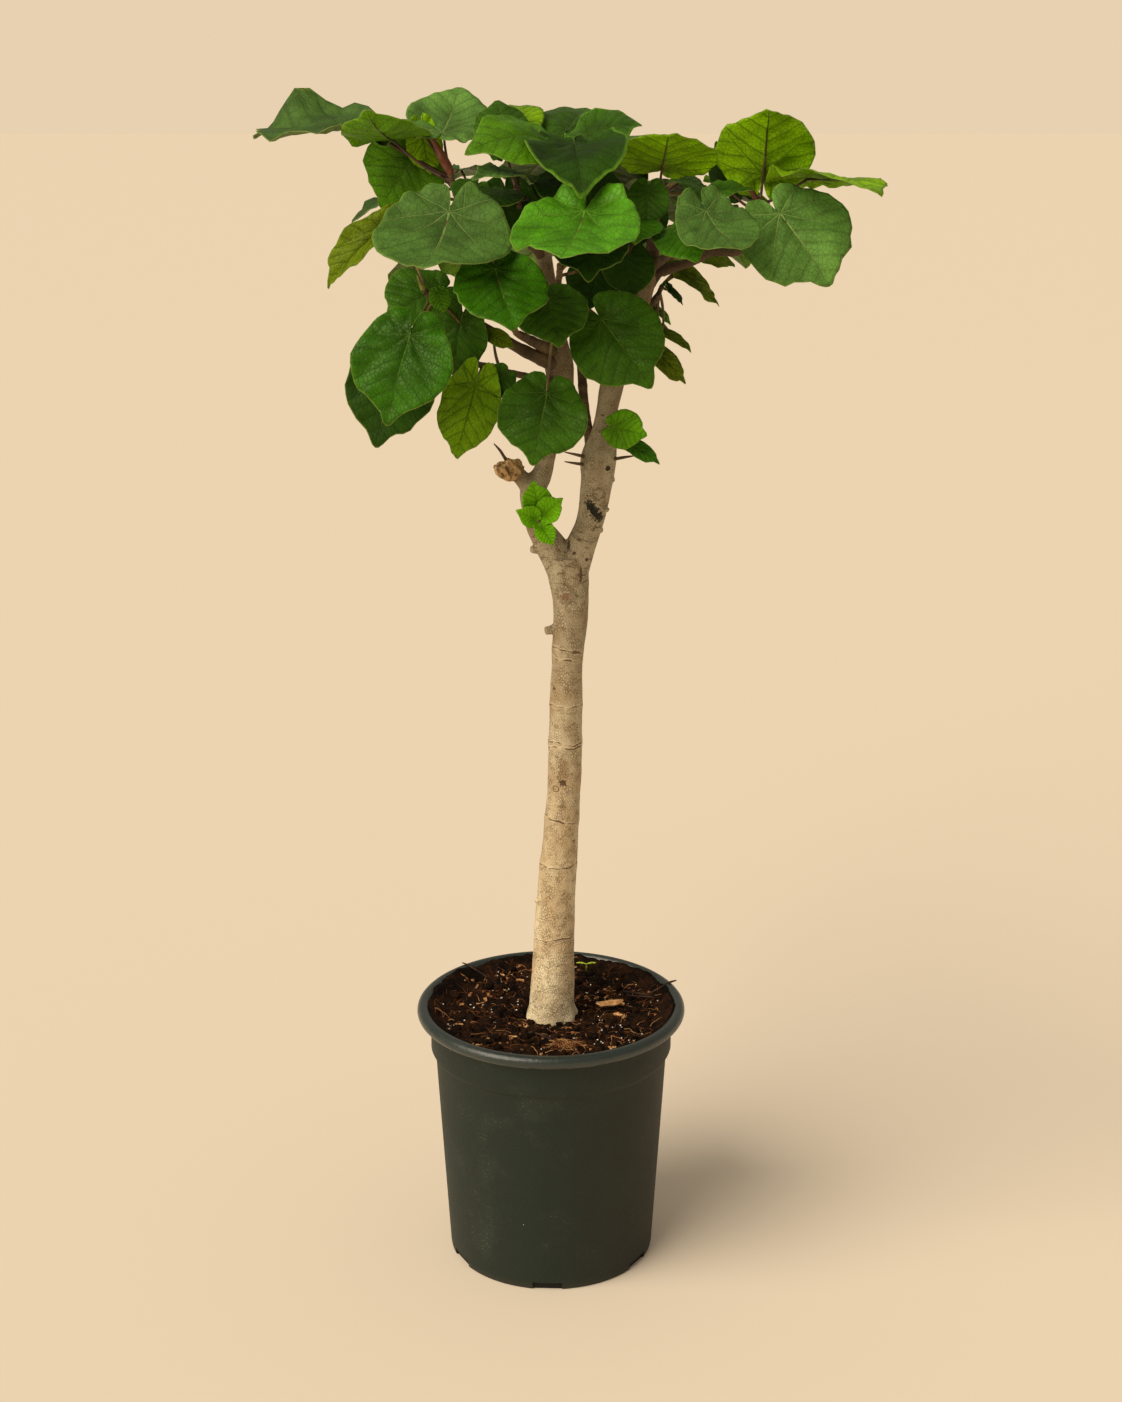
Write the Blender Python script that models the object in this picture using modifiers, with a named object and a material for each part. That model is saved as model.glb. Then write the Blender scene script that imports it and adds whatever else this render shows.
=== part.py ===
"""Umbrella fig grown as a standard tree in a dark green nursery pot.

Units are metres and +Z is up. The origin is at the centre of the pot's base, on the floor, and the
front of the plant faces -Y. The plant is built as it grew: a bare trunk stands in a plain hole in the
soil and forks into two limbs, the limbs carry woody branches, and on the end of each branch sits one
leafy shoot, whose stem, leaf stalks, blades and buds are fused into one solid.
"""
import math
import random
from dataclasses import dataclass, field

import bmesh
import bpy
from mathutils import Vector, noise

GAP = 0.0003
SEED = 20

# Pot: rolled rim, collar, tapered wall and a raised base on a notched foot ring.
POT_HEIGHT = 0.317
RIM_RADIUS = 0.160
RIM_ROLL = 0.0075
RIM_INNER_RADIUS = 0.1475
COLLAR_RADIUS = 0.144
COLLAR_BOTTOM = 0.262
WALL_TOP_RADIUS = 0.1386
BASE_RADIUS = 0.122
WALL = 0.0026
FOOT_WIDTH = 0.012
BASE_RAISE = 0.007
FLOOR_TOP = 0.010
POT_STEPS = 32
NOTCH_COUNT = 6
NOTCH_WIDTH = 0.035
NOTCH_HEIGHT = 0.008
NOTCH_TURN = math.radians(-92)
DRAIN_COUNT = 6
DRAIN_RADIUS = 0.006
DRAIN_RING = 0.080

LIP_WIDTH = 0.002
LIP_DROP = 0.0025
LIP_CREST_DROP = 0.0005
ROLL_STEPS = (90, 45, 10, -30, -90)
ROLL_FOOT = 0.003
ROLL_FOOT_WIDTH = 0.0035
SHOULDER_DROP = 0.004
SHOULDER_SLOPE = 0.006
FOOT_EDGE = 0.0015
DRAIN_DEPTH = 0.020
NOTCH_DEPTH = 0.040

# Soil: fills the pot to a little under the rim, with a plain hole for the trunk.
SOIL_TOP = 0.305
SOIL_DIP = 0.008
DIP_REACH = 0.050
SOIL_BUMP = 0.0030
HOLE_FLOOR = 0.200
HOLE_RADIUS = 0.0290
SOIL_RINGS = (HOLE_RADIUS, 0.045, 0.064, 0.088, 0.112)
SOIL_EDGE_DROP = 0.003
SOIL_SIDE_GAP = 0.0004
SOIL_SHOULDER_LIFT = 0.001
SOIL_GRAIN = 28.0

# Tubes have four sides and two more for each step of the curve's bevel resolution.
STALK_BEVEL = 0
BRANCH_BEVEL = 1
LIMB_BEVEL = 2
TRUNK_BEVEL = 3

# Leaf blades.
BLADE_THICKNESS = 0.0008
STALK_RADIUS = 0.0015
SMALL_LEAF = 0.056
OPENING = math.radians(176)
BLADE_SHIFT = 0.34
BLADE_ROUND = 0.52
DRIP = 0.14
DRIP_WIDTH = math.radians(8)
LOBE = 0.14
LOBE_ANGLE = math.radians(145)
LOBE_WIDTH = math.radians(46)
NOTCH = 0.50
NOTCH_SPREAD = math.radians(9)
CURL_PEAK = 0.73
CURL_SPREAD = 0.15
INNER_COLUMNS = 6
PLAIN_COLUMNS = 8
RIB_SUNK = 0.0002
STALK_INSET = 0.005
STALK_BOW = 0.12
STALKS_FROM = 0.12
STALKS_OVER = 0.85
STEM_COLLAR = 0.006

BARK = (0.47, 0.38, 0.25)
LEAF_GREEN = (0.06, 0.17, 0.02)
POT_GREEN = (0.018, 0.035, 0.027)
SOIL_BROWN = (0.045, 0.022, 0.012)


@dataclass
class Leaf:
    """One heart-shaped leaf, placed by its hub, where stalk and veins meet, and by its tip.

    faces is the way the upper face looks, at is where the stalk leaves the stem (0 base, 1 end),
    width is across over hub-to-tip length, arch, cup, wave and fold shape the blade, curl lifts its
    right side near the tip, bend moves the middle of the stalk, and a hidden leaf has a plainer
    blade.
    """

    hub: tuple
    tip: tuple
    faces: tuple
    width: float = 1.15
    arch: float = 0.06
    cup: float = 0.0
    wave: float = 0.03
    fold: float = 0.0
    curl: float = 0.0
    at: float = 1.0
    bend: tuple = (0.0, 0.0, 0.0)
    hidden: bool = False


@dataclass
class Shoot:
    """One leafy shoot: the branch that it sits on, its stem's further points, leaves and buds."""

    branch: str
    stem: list
    leaves: list
    buds: list = field(default_factory=list)
    radius: float = 0.0034


# Woody limbs and branches: each point is x, y, z and radius, from the root end out.
TRUNK = [
    (0.000, 0.000, HOLE_FLOOR, 0.0285), (0.000, 0.000, 0.240, 0.0285), (0.000, 0.000, 0.292, 0.0285),
    (0.001, 0.000, 0.312, 0.0272), (0.003, 0.001, 0.370, 0.0248), (0.006, 0.002, 0.450, 0.0228),
    (0.011, 0.002, 0.515, 0.0212), (0.015, 0.001, 0.580, 0.0197), (0.017, 0.000, 0.635, 0.0194),
    (0.018, -0.001, 0.695, 0.0188), (0.019, 0.000, 0.742, 0.0177), (0.023, 0.001, 0.790, 0.0198),
    (0.023, 0.001, 0.815, 0.0208), (0.020, 0.000, 0.842, 0.0232), (0.018, 0.000, 0.862, 0.0215),
]
RIGHT_LIMB = [
    (0.022, 0.000, 0.835, 0.0190), (0.032, 0.000, 0.868, 0.0175), (0.044, 0.000, 0.900, 0.0156),
    (0.052, 0.001, 0.945, 0.0176), (0.054, 0.001, 0.972, 0.0200), (0.059, 0.003, 0.997, 0.0155),
    (0.062, 0.005, 1.020, 0.0118), (0.070, 0.009, 1.058, 0.0132), (0.083, 0.014, 1.104, 0.0115),
    (0.099, 0.014, 1.140, 0.0098), (0.107, 0.012, 1.172, 0.0100), (0.111, 0.010, 1.192, 0.0092),
]
LEFT_LIMB = [
    (0.018, 0.000, 0.838, 0.0190), (0.004, -0.001, 0.868, 0.0180), (-0.012, -0.004, 0.895, 0.0145),
    (-0.019, -0.005, 0.922, 0.0140), (-0.018, -0.004, 0.942, 0.0150), (-0.008, -0.001, 0.960, 0.0112),
    (0.002, 0.002, 1.006, 0.0105), (0.011, 0.003, 1.045, 0.0140), (0.010, 0.004, 1.075, 0.0160),
    (0.005, 0.006, 1.105, 0.0135), (-0.001, 0.011, 1.150, 0.0105), (-0.008, 0.015, 1.205, 0.0078),
]
GALL_STALK = [(-0.019, -0.005, 0.936, 0.0120), (-0.031, -0.008, 0.952, 0.0095),
              (-0.042, -0.010, 0.962, 0.0090)]
GALL_CENTRE = (-0.044, -0.011, 0.963)
GALL_SIZE = (0.017, 0.013, 0.012)

BRANCHES = {
    "left_low": [(0.008, 0.000, 1.076, 0.0090), (-0.033, -0.030, 1.099, 0.0062),
                 (-0.074, -0.048, 1.126, 0.0050), (-0.116, -0.056, 1.147, 0.0040)],
    "left_front": [(0.006, 0.000, 1.090, 0.0075), (-0.014, -0.028, 1.104, 0.0058),
                   (-0.032, -0.050, 1.116, 0.0045)],
    "left_thin": [(0.008, 0.000, 1.056, 0.0060), (-0.020, -0.034, 1.068, 0.0040),
                  (-0.046, -0.056, 1.077, 0.0034)],
    "left_top": [(-0.001, 0.011, 1.140, 0.0085), (-0.040, 0.014, 1.172, 0.0066),
                 (-0.074, 0.012, 1.208, 0.0054), (-0.092, 0.006, 1.238, 0.0042)],
    "centre_front": [(0.002, 0.008, 1.120, 0.0080), (0.006, -0.016, 1.142, 0.0058),
                     (0.008, -0.034, 1.162, 0.0044)],
    "crown_left": [(-0.006, 0.014, 1.190, 0.0070), (-0.022, 0.004, 1.218, 0.0056),
                   (-0.030, -0.004, 1.238, 0.0044)],
    "crown_centre": [(-0.008, 0.015, 1.195, 0.0074), (0.000, 0.018, 1.230, 0.0058),
                     (0.010, 0.016, 1.258, 0.0046)],
    "right_top": [(0.110, 0.010, 1.186, 0.0080), (0.113, -0.004, 1.212, 0.0058),
                  (0.114, -0.016, 1.232, 0.0044)],
    "right_out": [(0.107, 0.012, 1.174, 0.0070), (0.153, 0.004, 1.188, 0.0046),
                  (0.177, 0.000, 1.199, 0.0043), (0.204, 0.000, 1.199, 0.0040),
                  (0.218, -0.002, 1.213, 0.0038)],
    "right_front": [(0.108, 0.011, 1.180, 0.0060), (0.122, -0.022, 1.194, 0.0046),
                    (0.132, -0.044, 1.204, 0.0038)],
    "right_low": [(0.094, 0.014, 1.128, 0.0055), (0.109, 0.016, 1.140, 0.0040),
                  (0.115, 0.018, 1.147, 0.0034)],
    "right_small": [(0.059, 0.002, 0.996, 0.0080), (0.064, -0.013, 1.000, 0.0036),
                    (0.067, -0.019, 1.003, 0.0030)],
    "fork": [(-0.006, -0.004, 0.884, 0.0090), (-0.010, -0.020, 0.890, 0.0048),
             (-0.011, -0.028, 0.895, 0.0040)],
    "dark_leader": [(0.052, 0.001, 0.966, 0.0120), (0.044, 0.006, 0.996, 0.0062),
                    (0.038, 0.014, 1.030, 0.0052), (0.034, 0.030, 1.085, 0.0050),
                    (0.032, 0.056, 1.140, 0.0046), (0.030, 0.084, 1.176, 0.0042)],
    "back_left": [(-0.007, 0.015, 1.196, 0.0068), (-0.034, 0.052, 1.214, 0.0052),
                  (-0.060, 0.084, 1.230, 0.0042)],
    "back_left_low": [(0.000, 0.011, 1.130, 0.0070), (-0.042, 0.054, 1.146, 0.0052),
                      (-0.080, 0.084, 1.162, 0.0042)],
    "back_top": [(-0.008, 0.015, 1.200, 0.0070), (0.008, 0.050, 1.240, 0.0052),
                 (0.016, 0.074, 1.268, 0.0042)],
    "back_right": [(0.111, 0.010, 1.188, 0.0070), (0.112, 0.050, 1.214, 0.0052),
                   (0.116, 0.084, 1.236, 0.0042)],
    "back_right_low": [(0.101, 0.013, 1.150, 0.0060), (0.124, 0.056, 1.176, 0.0048),
                       (0.142, 0.084, 1.192, 0.0040)],
}

# Short dead stubs and bare twigs on trunk and limbs: root, end, root radius and end radius.
STUBS = [
    ((0.020, 0.001, 0.779), (-0.008, -0.008, 0.779), 0.0085, 0.0056),
    ((0.004, 0.002, 0.448), (-0.018, -0.010, 0.449), 0.0075, 0.0040),
    ((-0.002, -0.002, 0.870), (-0.022, -0.012, 0.872), 0.0066, 0.0042),
    ((0.014, -0.003, 0.572), (0.010, -0.021, 0.574), 0.0070, 0.0040),
    ((0.050, 0.001, 0.948), (0.072, -0.006, 0.950), 0.0052, 0.0026),
    ((0.045, 0.001, 0.914), (0.065, -0.010, 0.917), 0.0050, 0.0026),
    ((0.040, 0.001, 0.890), (0.059, -0.008, 0.893), 0.0050, 0.0028),
    ((-0.042, -0.010, 0.966), (-0.062, -0.024, 0.994), 0.0040, 0.0012),
    ((0.056, 0.001, 0.970), (0.094, -0.016, 0.979), 0.0046, 0.0012),
    ((0.052, 0.001, 0.972), (0.016, -0.027, 0.985), 0.0046, 0.0012),
    ((0.052, 0.001, 0.964), (0.016, -0.025, 0.974), 0.0044, 0.0012),
]

SHOOTS = {
    "shoot_left_top": Shoot("left_top", [(-0.102, 0.002, 1.262), (-0.107, 0.000, 1.284)], [
        Leaf((-0.195, 0.045, 1.329), (-0.340, 0.148, 1.314), (0.0, -0.25, 1.0), 0.62, arch=0.05,
             curl=0.90, at=0.9),
        Leaf((-0.165, 0.000, 1.318), (-0.190, -0.072, 1.352), (0.0, 0.3, 0.95), 1.10, arch=-0.10, at=0.8),
        Leaf((-0.115, 0.000, 1.325), (-0.098, 0.065, 1.374), (0.0, -0.65, 0.75), 1.05, arch=-0.06, cup=0.1),
        Leaf((-0.138, 0.015, 1.328), (-0.130, 0.028, 1.279), (0.0, -1.0, 0.1), 0.75, at=0.7),
        Leaf((-0.145, 0.035, 1.301), (-0.187, 0.048, 1.244), (0.0, -1.0, 0.1), 1.25, at=0.5),
        Leaf((-0.105, -0.080, 1.247), (-0.130, -0.175, 1.193), (-0.05, -0.5, 0.85), 1.25, arch=-0.10, at=0.1),
    ], [((-0.107, 0.000, 1.284), (-0.130, -0.010, 1.328), 0.0055)]),
    "shoot_left_low": Shoot("left_low", [(-0.126, -0.058, 1.156), (-0.133, -0.062, 1.164)], [
        Leaf((-0.178, 0.020, 1.226), (-0.243, 0.010, 1.160), (-0.4, -0.7, 0.6), 0.52, fold=0.4),
        Leaf((-0.120, -0.022, 1.160), (-0.176, -0.050, 1.132), (-0.1, -0.75, 0.65), 1.25),
        Leaf((-0.143, -0.160, 1.129), (-0.167, -0.185, 1.042), (-0.15, -0.9, 0.3), 1.10, at=0.6),
        Leaf((-0.156, -0.115, 1.103), (-0.184, -0.130, 1.009), (-0.2, -0.95, 0.2), 0.95, at=0.3),
        Leaf((-0.118, -0.078, 1.165), (-0.110, -0.090, 1.144), (0.0, -1.0, 0.2), 0.90, at=0.8),
        Leaf((-0.094, -0.066, 1.134), (-0.104, -0.062, 1.074), (-0.1, -1.0, 0.1), 1.00, at=0.6,
             bend=(0.0, -0.014, 0.0)),
    ], [((-0.133, -0.062, 1.164), (-0.141, -0.066, 1.182), 0.0035)]),
    "shoot_left_front": Shoot("left_front", [(-0.040, -0.064, 1.128), (-0.044, -0.074, 1.140)], [
        Leaf((-0.056, -0.120, 1.193), (-0.035, -0.175, 1.135), (0.1, -0.7, 0.7), 1.15, arch=-0.03),
    ], [((-0.044, -0.074, 1.140), (-0.047, -0.080, 1.155), 0.0032)]),
    "shoot_left_thin": Shoot("left_thin", [(-0.060, -0.074, 1.084), (-0.084, -0.088, 1.091)], [
        Leaf((-0.078, -0.102, 1.071), (-0.101, -0.094, 0.991), (0.1, -1.0, 0.1), 0.76, at=0.7),
        Leaf((-0.048, -0.088, 1.079), (-0.070, -0.098, 1.058), (0.0, -0.9, 0.3), 1.20, at=0.2),
        Leaf((-0.064, -0.062, 1.118), (-0.038, -0.068, 1.105), (0.0, -0.8, 0.6), 0.70, at=0.1),
    ]),
    "shoot_centre_low": Shoot("centre_front", [(0.010, -0.044, 1.177), (0.011, -0.052, 1.191)], [
        Leaf((-0.003, -0.105, 1.061), (-0.018, -0.135, 0.989), (0.05, -0.95, 0.3), 1.15, at=0.1,
             bend=(0.0, -0.014, 0.014)),
        Leaf((-0.002, -0.070, 1.158), (0.011, -0.100, 1.109), (0.0, -0.8, 0.5), 1.30, at=0.1),
        Leaf((0.055, -0.060, 1.134), (0.108, -0.085, 1.065), (-0.05, -0.95, 0.3), 1.10, at=0.2),
        Leaf((0.036, -0.130, 1.252), (0.008, -0.232, 1.209), (-0.12, -0.42, 0.9), 1.12, arch=-0.05),
        Leaf((0.042, -0.095, 1.225), (0.040, -0.155, 1.186), (0.0, -0.55, 0.83), 1.10, at=0.7),
        Leaf((0.052, 0.000, 1.184), (0.041, -0.020, 1.138), (0.0, -0.9, 0.4), 1.15, at=0.5),
    ]),
    "shoot_crown_left": Shoot("crown_left", [(-0.034, -0.012, 1.254), (-0.036, -0.016, 1.268)], [
        Leaf((-0.048, -0.020, 1.313), (-0.057, 0.020, 1.357), (0.0, -0.6, 0.8), 1.00, cup=-0.2),
        Leaf((-0.050, -0.046, 1.267), (-0.060, -0.084, 1.251), (0.0, -0.5, 0.85), 1.20, at=0.8),
        Leaf((-0.078, -0.032, 1.273), (-0.096, -0.058, 1.254), (0.0, -0.6, 0.8), 1.10, at=0.6),
        Leaf((-0.048, 0.000, 1.266), (-0.041, -0.018, 1.216), (0.0, -0.8, 0.5), 1.15, at=0.3),
        Leaf((-0.008, 0.000, 1.262), (-0.005, -0.018, 1.222), (0.0, -0.8, 0.5), 1.10, at=0.5),
        Leaf((-0.030, -0.060, 1.286), (-0.078, -0.100, 1.283), (0.0, -0.3, 0.95), 0.80, at=0.9),
    ]),
    "shoot_crown_centre": Shoot("crown_centre", [(0.014, 0.010, 1.276), (0.016, 0.004, 1.292)], [
        Leaf((0.000, -0.048, 1.316), (-0.088, -0.088, 1.305), (0.0, -0.6, 0.8), 0.95, arch=0.16, cup=-0.3),
        Leaf((0.026, -0.040, 1.316), (0.033, -0.135, 1.266), (0.0, -0.5, 0.85), 0.95, arch=0.1, cup=0.5),
        Leaf((0.035, -0.010, 1.322), (0.100, -0.010, 1.330), (0.0, -0.5, 0.85), 1.10, arch=0.1, wave=0.06),
        Leaf((0.020, 0.035, 1.327), (0.040, 0.095, 1.347), (0.0, -0.5, 0.85), 1.10),
        Leaf((-0.034, 0.030, 1.332), (-0.044, 0.080, 1.352), (0.0, -0.5, 0.85), 1.10, at=0.8),
        Leaf((0.016, -0.030, 1.281), (0.008, -0.070, 1.247), (0.0, -0.8, 0.6), 1.10, at=0.5),
        Leaf((0.054, 0.010, 1.268), (0.060, -0.002, 1.215), (0.1, -0.8, 0.5), 1.15, at=0.2),
        Leaf((0.050, -0.020, 1.318), (0.074, -0.040, 1.300), (0.0, -0.6, 0.8), 1.10, at=0.9),
    ]),
    "shoot_right_top": Shoot("right_top", [(0.115, -0.024, 1.247), (0.115, -0.030, 1.259)], [
        Leaf((0.118, -0.040, 1.289), (0.124, -0.085, 1.332), (0.0, 0.7, 0.7), 1.72, arch=-0.05),
        Leaf((0.104, -0.060, 1.270), (0.100, -0.080, 1.230), (0.0, -0.9, 0.4), 1.00, at=0.8),
        Leaf((0.094, -0.080, 1.238), (0.088, -0.122, 1.218), (0.0, -0.5, 0.85), 1.05, at=0.3),
        Leaf((0.140, -0.010, 1.278), (0.172, 0.002, 1.262), (0.0, -0.5, 0.85), 0.90, at=0.9),
        Leaf((0.101, 0.028, 1.252), (0.097, 0.014, 1.204), (0.0, -0.8, 0.5), 1.15, at=0.3),
        Leaf((0.082, -0.020, 1.200), (0.088, -0.030, 1.152), (0.1, -0.9, 0.4), 1.10, at=0.5),
    ]),
    "shoot_right_front": Shoot("right_front", [(0.142, -0.062, 1.216), (0.148, -0.072, 1.226)], [
        Leaf((0.162, -0.105, 1.250), (0.200, -0.165, 1.217), (0.1, -0.45, 0.9), 1.12, arch=-0.10),
        Leaf((0.130, -0.092, 1.229), (0.152, -0.132, 1.200), (0.0, -0.6, 0.8), 1.10, at=0.6),
        Leaf((0.158, -0.040, 1.261), (0.215, -0.048, 1.269), (0.0, -0.4, 0.9), 0.60, at=0.9),
    ]),
    "shoot_right_out": Shoot("right_out", [(0.222, -0.004, 1.228), (0.226, -0.002, 1.250)], [
        Leaf((0.229, -0.005, 1.282), (0.232, -0.035, 1.355), (0.0, 0.9, 0.4), 1.30),
        Leaf((0.272, -0.020, 1.279), (0.336, -0.148, 1.267), (0.0, 0.35, 1.0), 0.70),
        Leaf((0.243, -0.060, 1.244), (0.294, -0.095, 1.171), (0.1, -0.9, 0.45), 1.22, at=0.7),
        Leaf((0.277, 0.045, 1.235), (0.334, 0.075, 1.203), (0.2, -0.4, 0.9), 1.10, at=0.5),
        Leaf((0.192, 0.016, 1.264), (0.180, 0.030, 1.315), (0.4, -0.8, 0.4), 0.90, fold=0.3, at=0.8),
    ], [((0.226, -0.002, 1.250), (0.212, -0.004, 1.272), 0.0038)]),
    "shoot_right_low": Shoot("right_low", [(0.120, 0.020, 1.154), (0.123, 0.022, 1.161)], [
        Leaf((0.142, 0.024, 1.179), (0.187, 0.040, 1.137), (0.2, -0.6, 0.8), 0.45),
        Leaf((0.130, 0.016, 1.160), (0.147, 0.026, 1.139), (0.2, -0.6, 0.8), 0.45, at=0.9),
        Leaf((0.114, 0.042, 1.137), (0.134, 0.048, 1.115), (0.2, -0.6, 0.8), 0.50, at=0.4),
        Leaf((0.122, 0.032, 1.113), (0.158, 0.040, 1.085), (0.2, -0.6, 0.8), 0.40, at=0.5,
             bend=(0.012, 0.004, 0.004)),
        Leaf((0.114, 0.034, 1.091), (0.152, 0.040, 1.050), (0.2, -0.8, 0.5), 0.50, at=0.4,
             bend=(0.010, 0.012, 0.004)),
        Leaf((0.160, 0.028, 1.199), (0.204, 0.034, 1.181), (0.1, -0.5, 0.85), 0.80),
    ], radius=0.0026),
    "shoot_right_small": Shoot("right_small", [(0.070, -0.026, 1.011)], [
        Leaf((0.069, -0.034, 1.014), (0.106, -0.052, 1.007), (0.1, -1.0, 0.3), 1.05),
        Leaf((0.084, -0.028, 0.996), (0.121, -0.034, 0.972), (0.1, -0.7, 0.7), 0.50, at=0.5),
    ], radius=0.0024),
    "shoot_fork": Shoot("fork", [(-0.012, -0.036, 0.906), (-0.012, -0.040, 0.916)], [
        Leaf((-0.012, -0.044, 0.923), (-0.019, -0.050, 0.958), (0.0, -1.0, 0.2), 0.95),
        Leaf((-0.006, -0.049, 0.920), (0.014, -0.060, 0.940), (0.0, -1.0, 0.3), 0.95),
        Leaf((-0.017, -0.052, 0.915), (-0.037, -0.062, 0.927), (0.0, -1.0, 0.3), 0.95),
        Leaf((-0.009, -0.050, 0.905), (0.004, -0.060, 0.888), (0.0, -1.0, 0.3), 0.95, at=0.7),
    ], radius=0.0022),
}


@dataclass
class Spray:
    """A hidden back shoot grown by rule: its branch, stem end, outward bearing and leaf count."""

    branch: str
    end: tuple
    bearing: float
    spread: float
    count: int
    seed: int


SPRAYS = {
    "shoot_back_left": Spray("back_left", (-0.084, 0.108, 1.250), 146, 70, 4, 1),
    "shoot_back_left_low": Spray("back_left_low", (-0.080, 0.100, 1.182), 110, 70, 4, 2),
    "shoot_back_centre": Spray("dark_leader", (0.028, 0.112, 1.190), 92, 76, 4, 3),
    "shoot_back_top": Spray("back_top", (0.030, 0.094, 1.292), 84, 64, 4, 4),
    "shoot_back_right": Spray("back_right", (0.130, 0.104, 1.262), 42, 84, 4, 5),
    "shoot_back_right_low": Spray("back_right_low", (0.160, 0.110, 1.206), 62, 70, 4, 6),
}


def clear_scene():
    """Remove the objects of the opening scene."""
    for obj in list(bpy.data.objects):
        bpy.data.objects.remove(obj, do_unlink=True)


def make_collection(name):
    """A new collection in the scene."""
    made = bpy.data.collections.new(name)
    bpy.context.scene.collection.children.link(made)
    return made


def make_material(name, colour, roughness):
    """A plain Principled material."""
    made = bpy.data.materials.new(name)
    made.use_nodes = True
    shader = made.node_tree.nodes["Principled BSDF"]
    shader.inputs["Base Color"].default_value = (*colour, 1.0)
    shader.inputs["Roughness"].default_value = roughness
    made.diffuse_color = (*colour, 1.0)
    return made


def add_object(name, mesh, collection):
    """A new object for a mesh, in the given collection."""
    obj = bpy.data.objects.new(name, mesh)
    collection.objects.link(obj)
    return obj


def bake(obj):
    """Replace an object's mesh by its evaluated mesh and drop the modifiers."""
    graph = bpy.context.evaluated_depsgraph_get()
    mesh = bpy.data.meshes.new_from_object(obj.evaluated_get(graph), depsgraph=graph)
    obj.modifiers.clear()
    obj.data = mesh
    return obj


def smooth_route(points, per_span):
    """Points along a smooth curve through hand-chosen points of any dimension."""
    def blend(p0, p1, p2, p3, t):
        return [0.5 * (2 * b + (c - a) * t + (2 * a - 5 * b + 4 * c - d) * t * t
                       + (3 * b - a - 3 * c + d) * t ** 3) for a, b, c, d in zip(p0, p1, p2, p3)]

    route = []
    for i in range(len(points) - 1):
        before = points[max(i - 1, 0)]
        after = points[min(i + 2, len(points) - 1)]
        route += [blend(before, points[i], points[i + 1], after, k / per_span) for k in range(per_span)]
    route.append(list(points[-1]))
    return route


def tube(name, route, bevel, collection):
    """A closed round tube along a route of x, y, z and radius, made from a curve."""
    curve = bpy.data.curves.new(name, "CURVE")
    curve.dimensions = "3D"
    curve.bevel_depth = 1.0
    curve.bevel_resolution = bevel
    curve.use_fill_caps = True
    line = curve.splines.new("POLY")
    line.points.add(len(route) - 1)
    for point, (x, y, z, radius) in zip(line.points, route):
        point.co = (x, y, z, 1.0)
        point.radius = radius
    guide = add_object(name + "_guide", curve, collection)
    graph = bpy.context.evaluated_depsgraph_get()
    mesh = bpy.data.meshes.new_from_object(guide.evaluated_get(graph), depsgraph=graph)
    obj = add_object(name, mesh, collection)
    obj.matrix_world = guide.matrix_world
    bpy.data.objects.remove(guide, do_unlink=True)
    work = bmesh.new()
    work.from_mesh(mesh)
    bmesh.ops.remove_doubles(work, verts=work.verts, dist=0.00001)
    bmesh.ops.recalc_face_normals(work, faces=work.faces)
    work.to_mesh(mesh)
    work.free()
    return obj


def outline_radius(angle):
    """Hub-to-edge distance of a leaf of length 1, by the angle from its tip, in radians."""
    body = BLADE_SHIFT * math.cos(angle) + math.sqrt(BLADE_ROUND ** 2 - (BLADE_SHIFT * math.sin(angle)) ** 2)
    drip = DRIP * math.exp(-(angle / DRIP_WIDTH) ** 2)
    lobe = LOBE * math.exp(-((abs(angle) - LOBE_ANGLE) / LOBE_WIDTH) ** 2)
    notch = 1 - NOTCH * math.exp(-((math.pi - abs(angle)) / NOTCH_SPREAD) ** 2)
    return (body + drip + lobe) * notch


def leaf_frame(leaf):
    """Origin, length and the three directions of a leaf: to the tip, to the left and up."""
    hub = Vector(leaf.hub)
    along = Vector(leaf.tip) - hub
    length = along.length
    along.normalize()
    up = Vector(leaf.faces)
    up = (up - along * up.dot(along)).normalized()
    return hub, length, along, up.cross(along), up


def blade_point(leaf, angle, out):
    """A point of a leaf's middle surface: angle from the tip, and 0 at the hub to 1 at the edge."""
    hub, length, along, side, up = leaf_frame(leaf)
    reach = outline_radius(angle) * out
    forward = reach * math.cos(angle)
    across = reach * math.sin(angle) * leaf.width
    phase = 40.0 * (leaf.hub[0] + leaf.hub[1])
    lift = 4 * leaf.arch * forward * (1 - forward)
    lift += leaf.cup * across * across + leaf.fold * abs(across)
    lift += leaf.curl * max(0.0, -across) * math.exp(-((forward - CURL_PEAK) / CURL_SPREAD) ** 2)
    lift += leaf.wave * out * out * math.sin(5 * angle + phase) * min(1.0, abs(angle))
    return hub + length * (along * forward + side * across + up * lift)


def is_large(leaf):
    """Whether a leaf is long enough for the finer blade."""
    return (Vector(leaf.tip) - Vector(leaf.hub)).length > SMALL_LEAF


def blade_rings(leaf):
    """The rings of points round a leaf's hub, as shares of the way to its edge."""
    return (0.55, 1.0) if is_large(leaf) and not leaf.hidden else (1.0,)


def blade_angles(columns):
    """The angles of the points on a ring round the hub, closer together near the tip."""
    half = columns // 2
    return [math.copysign(OPENING * abs(k / half) ** 1.35, k) for k in range(-half, half + 1)]


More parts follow.
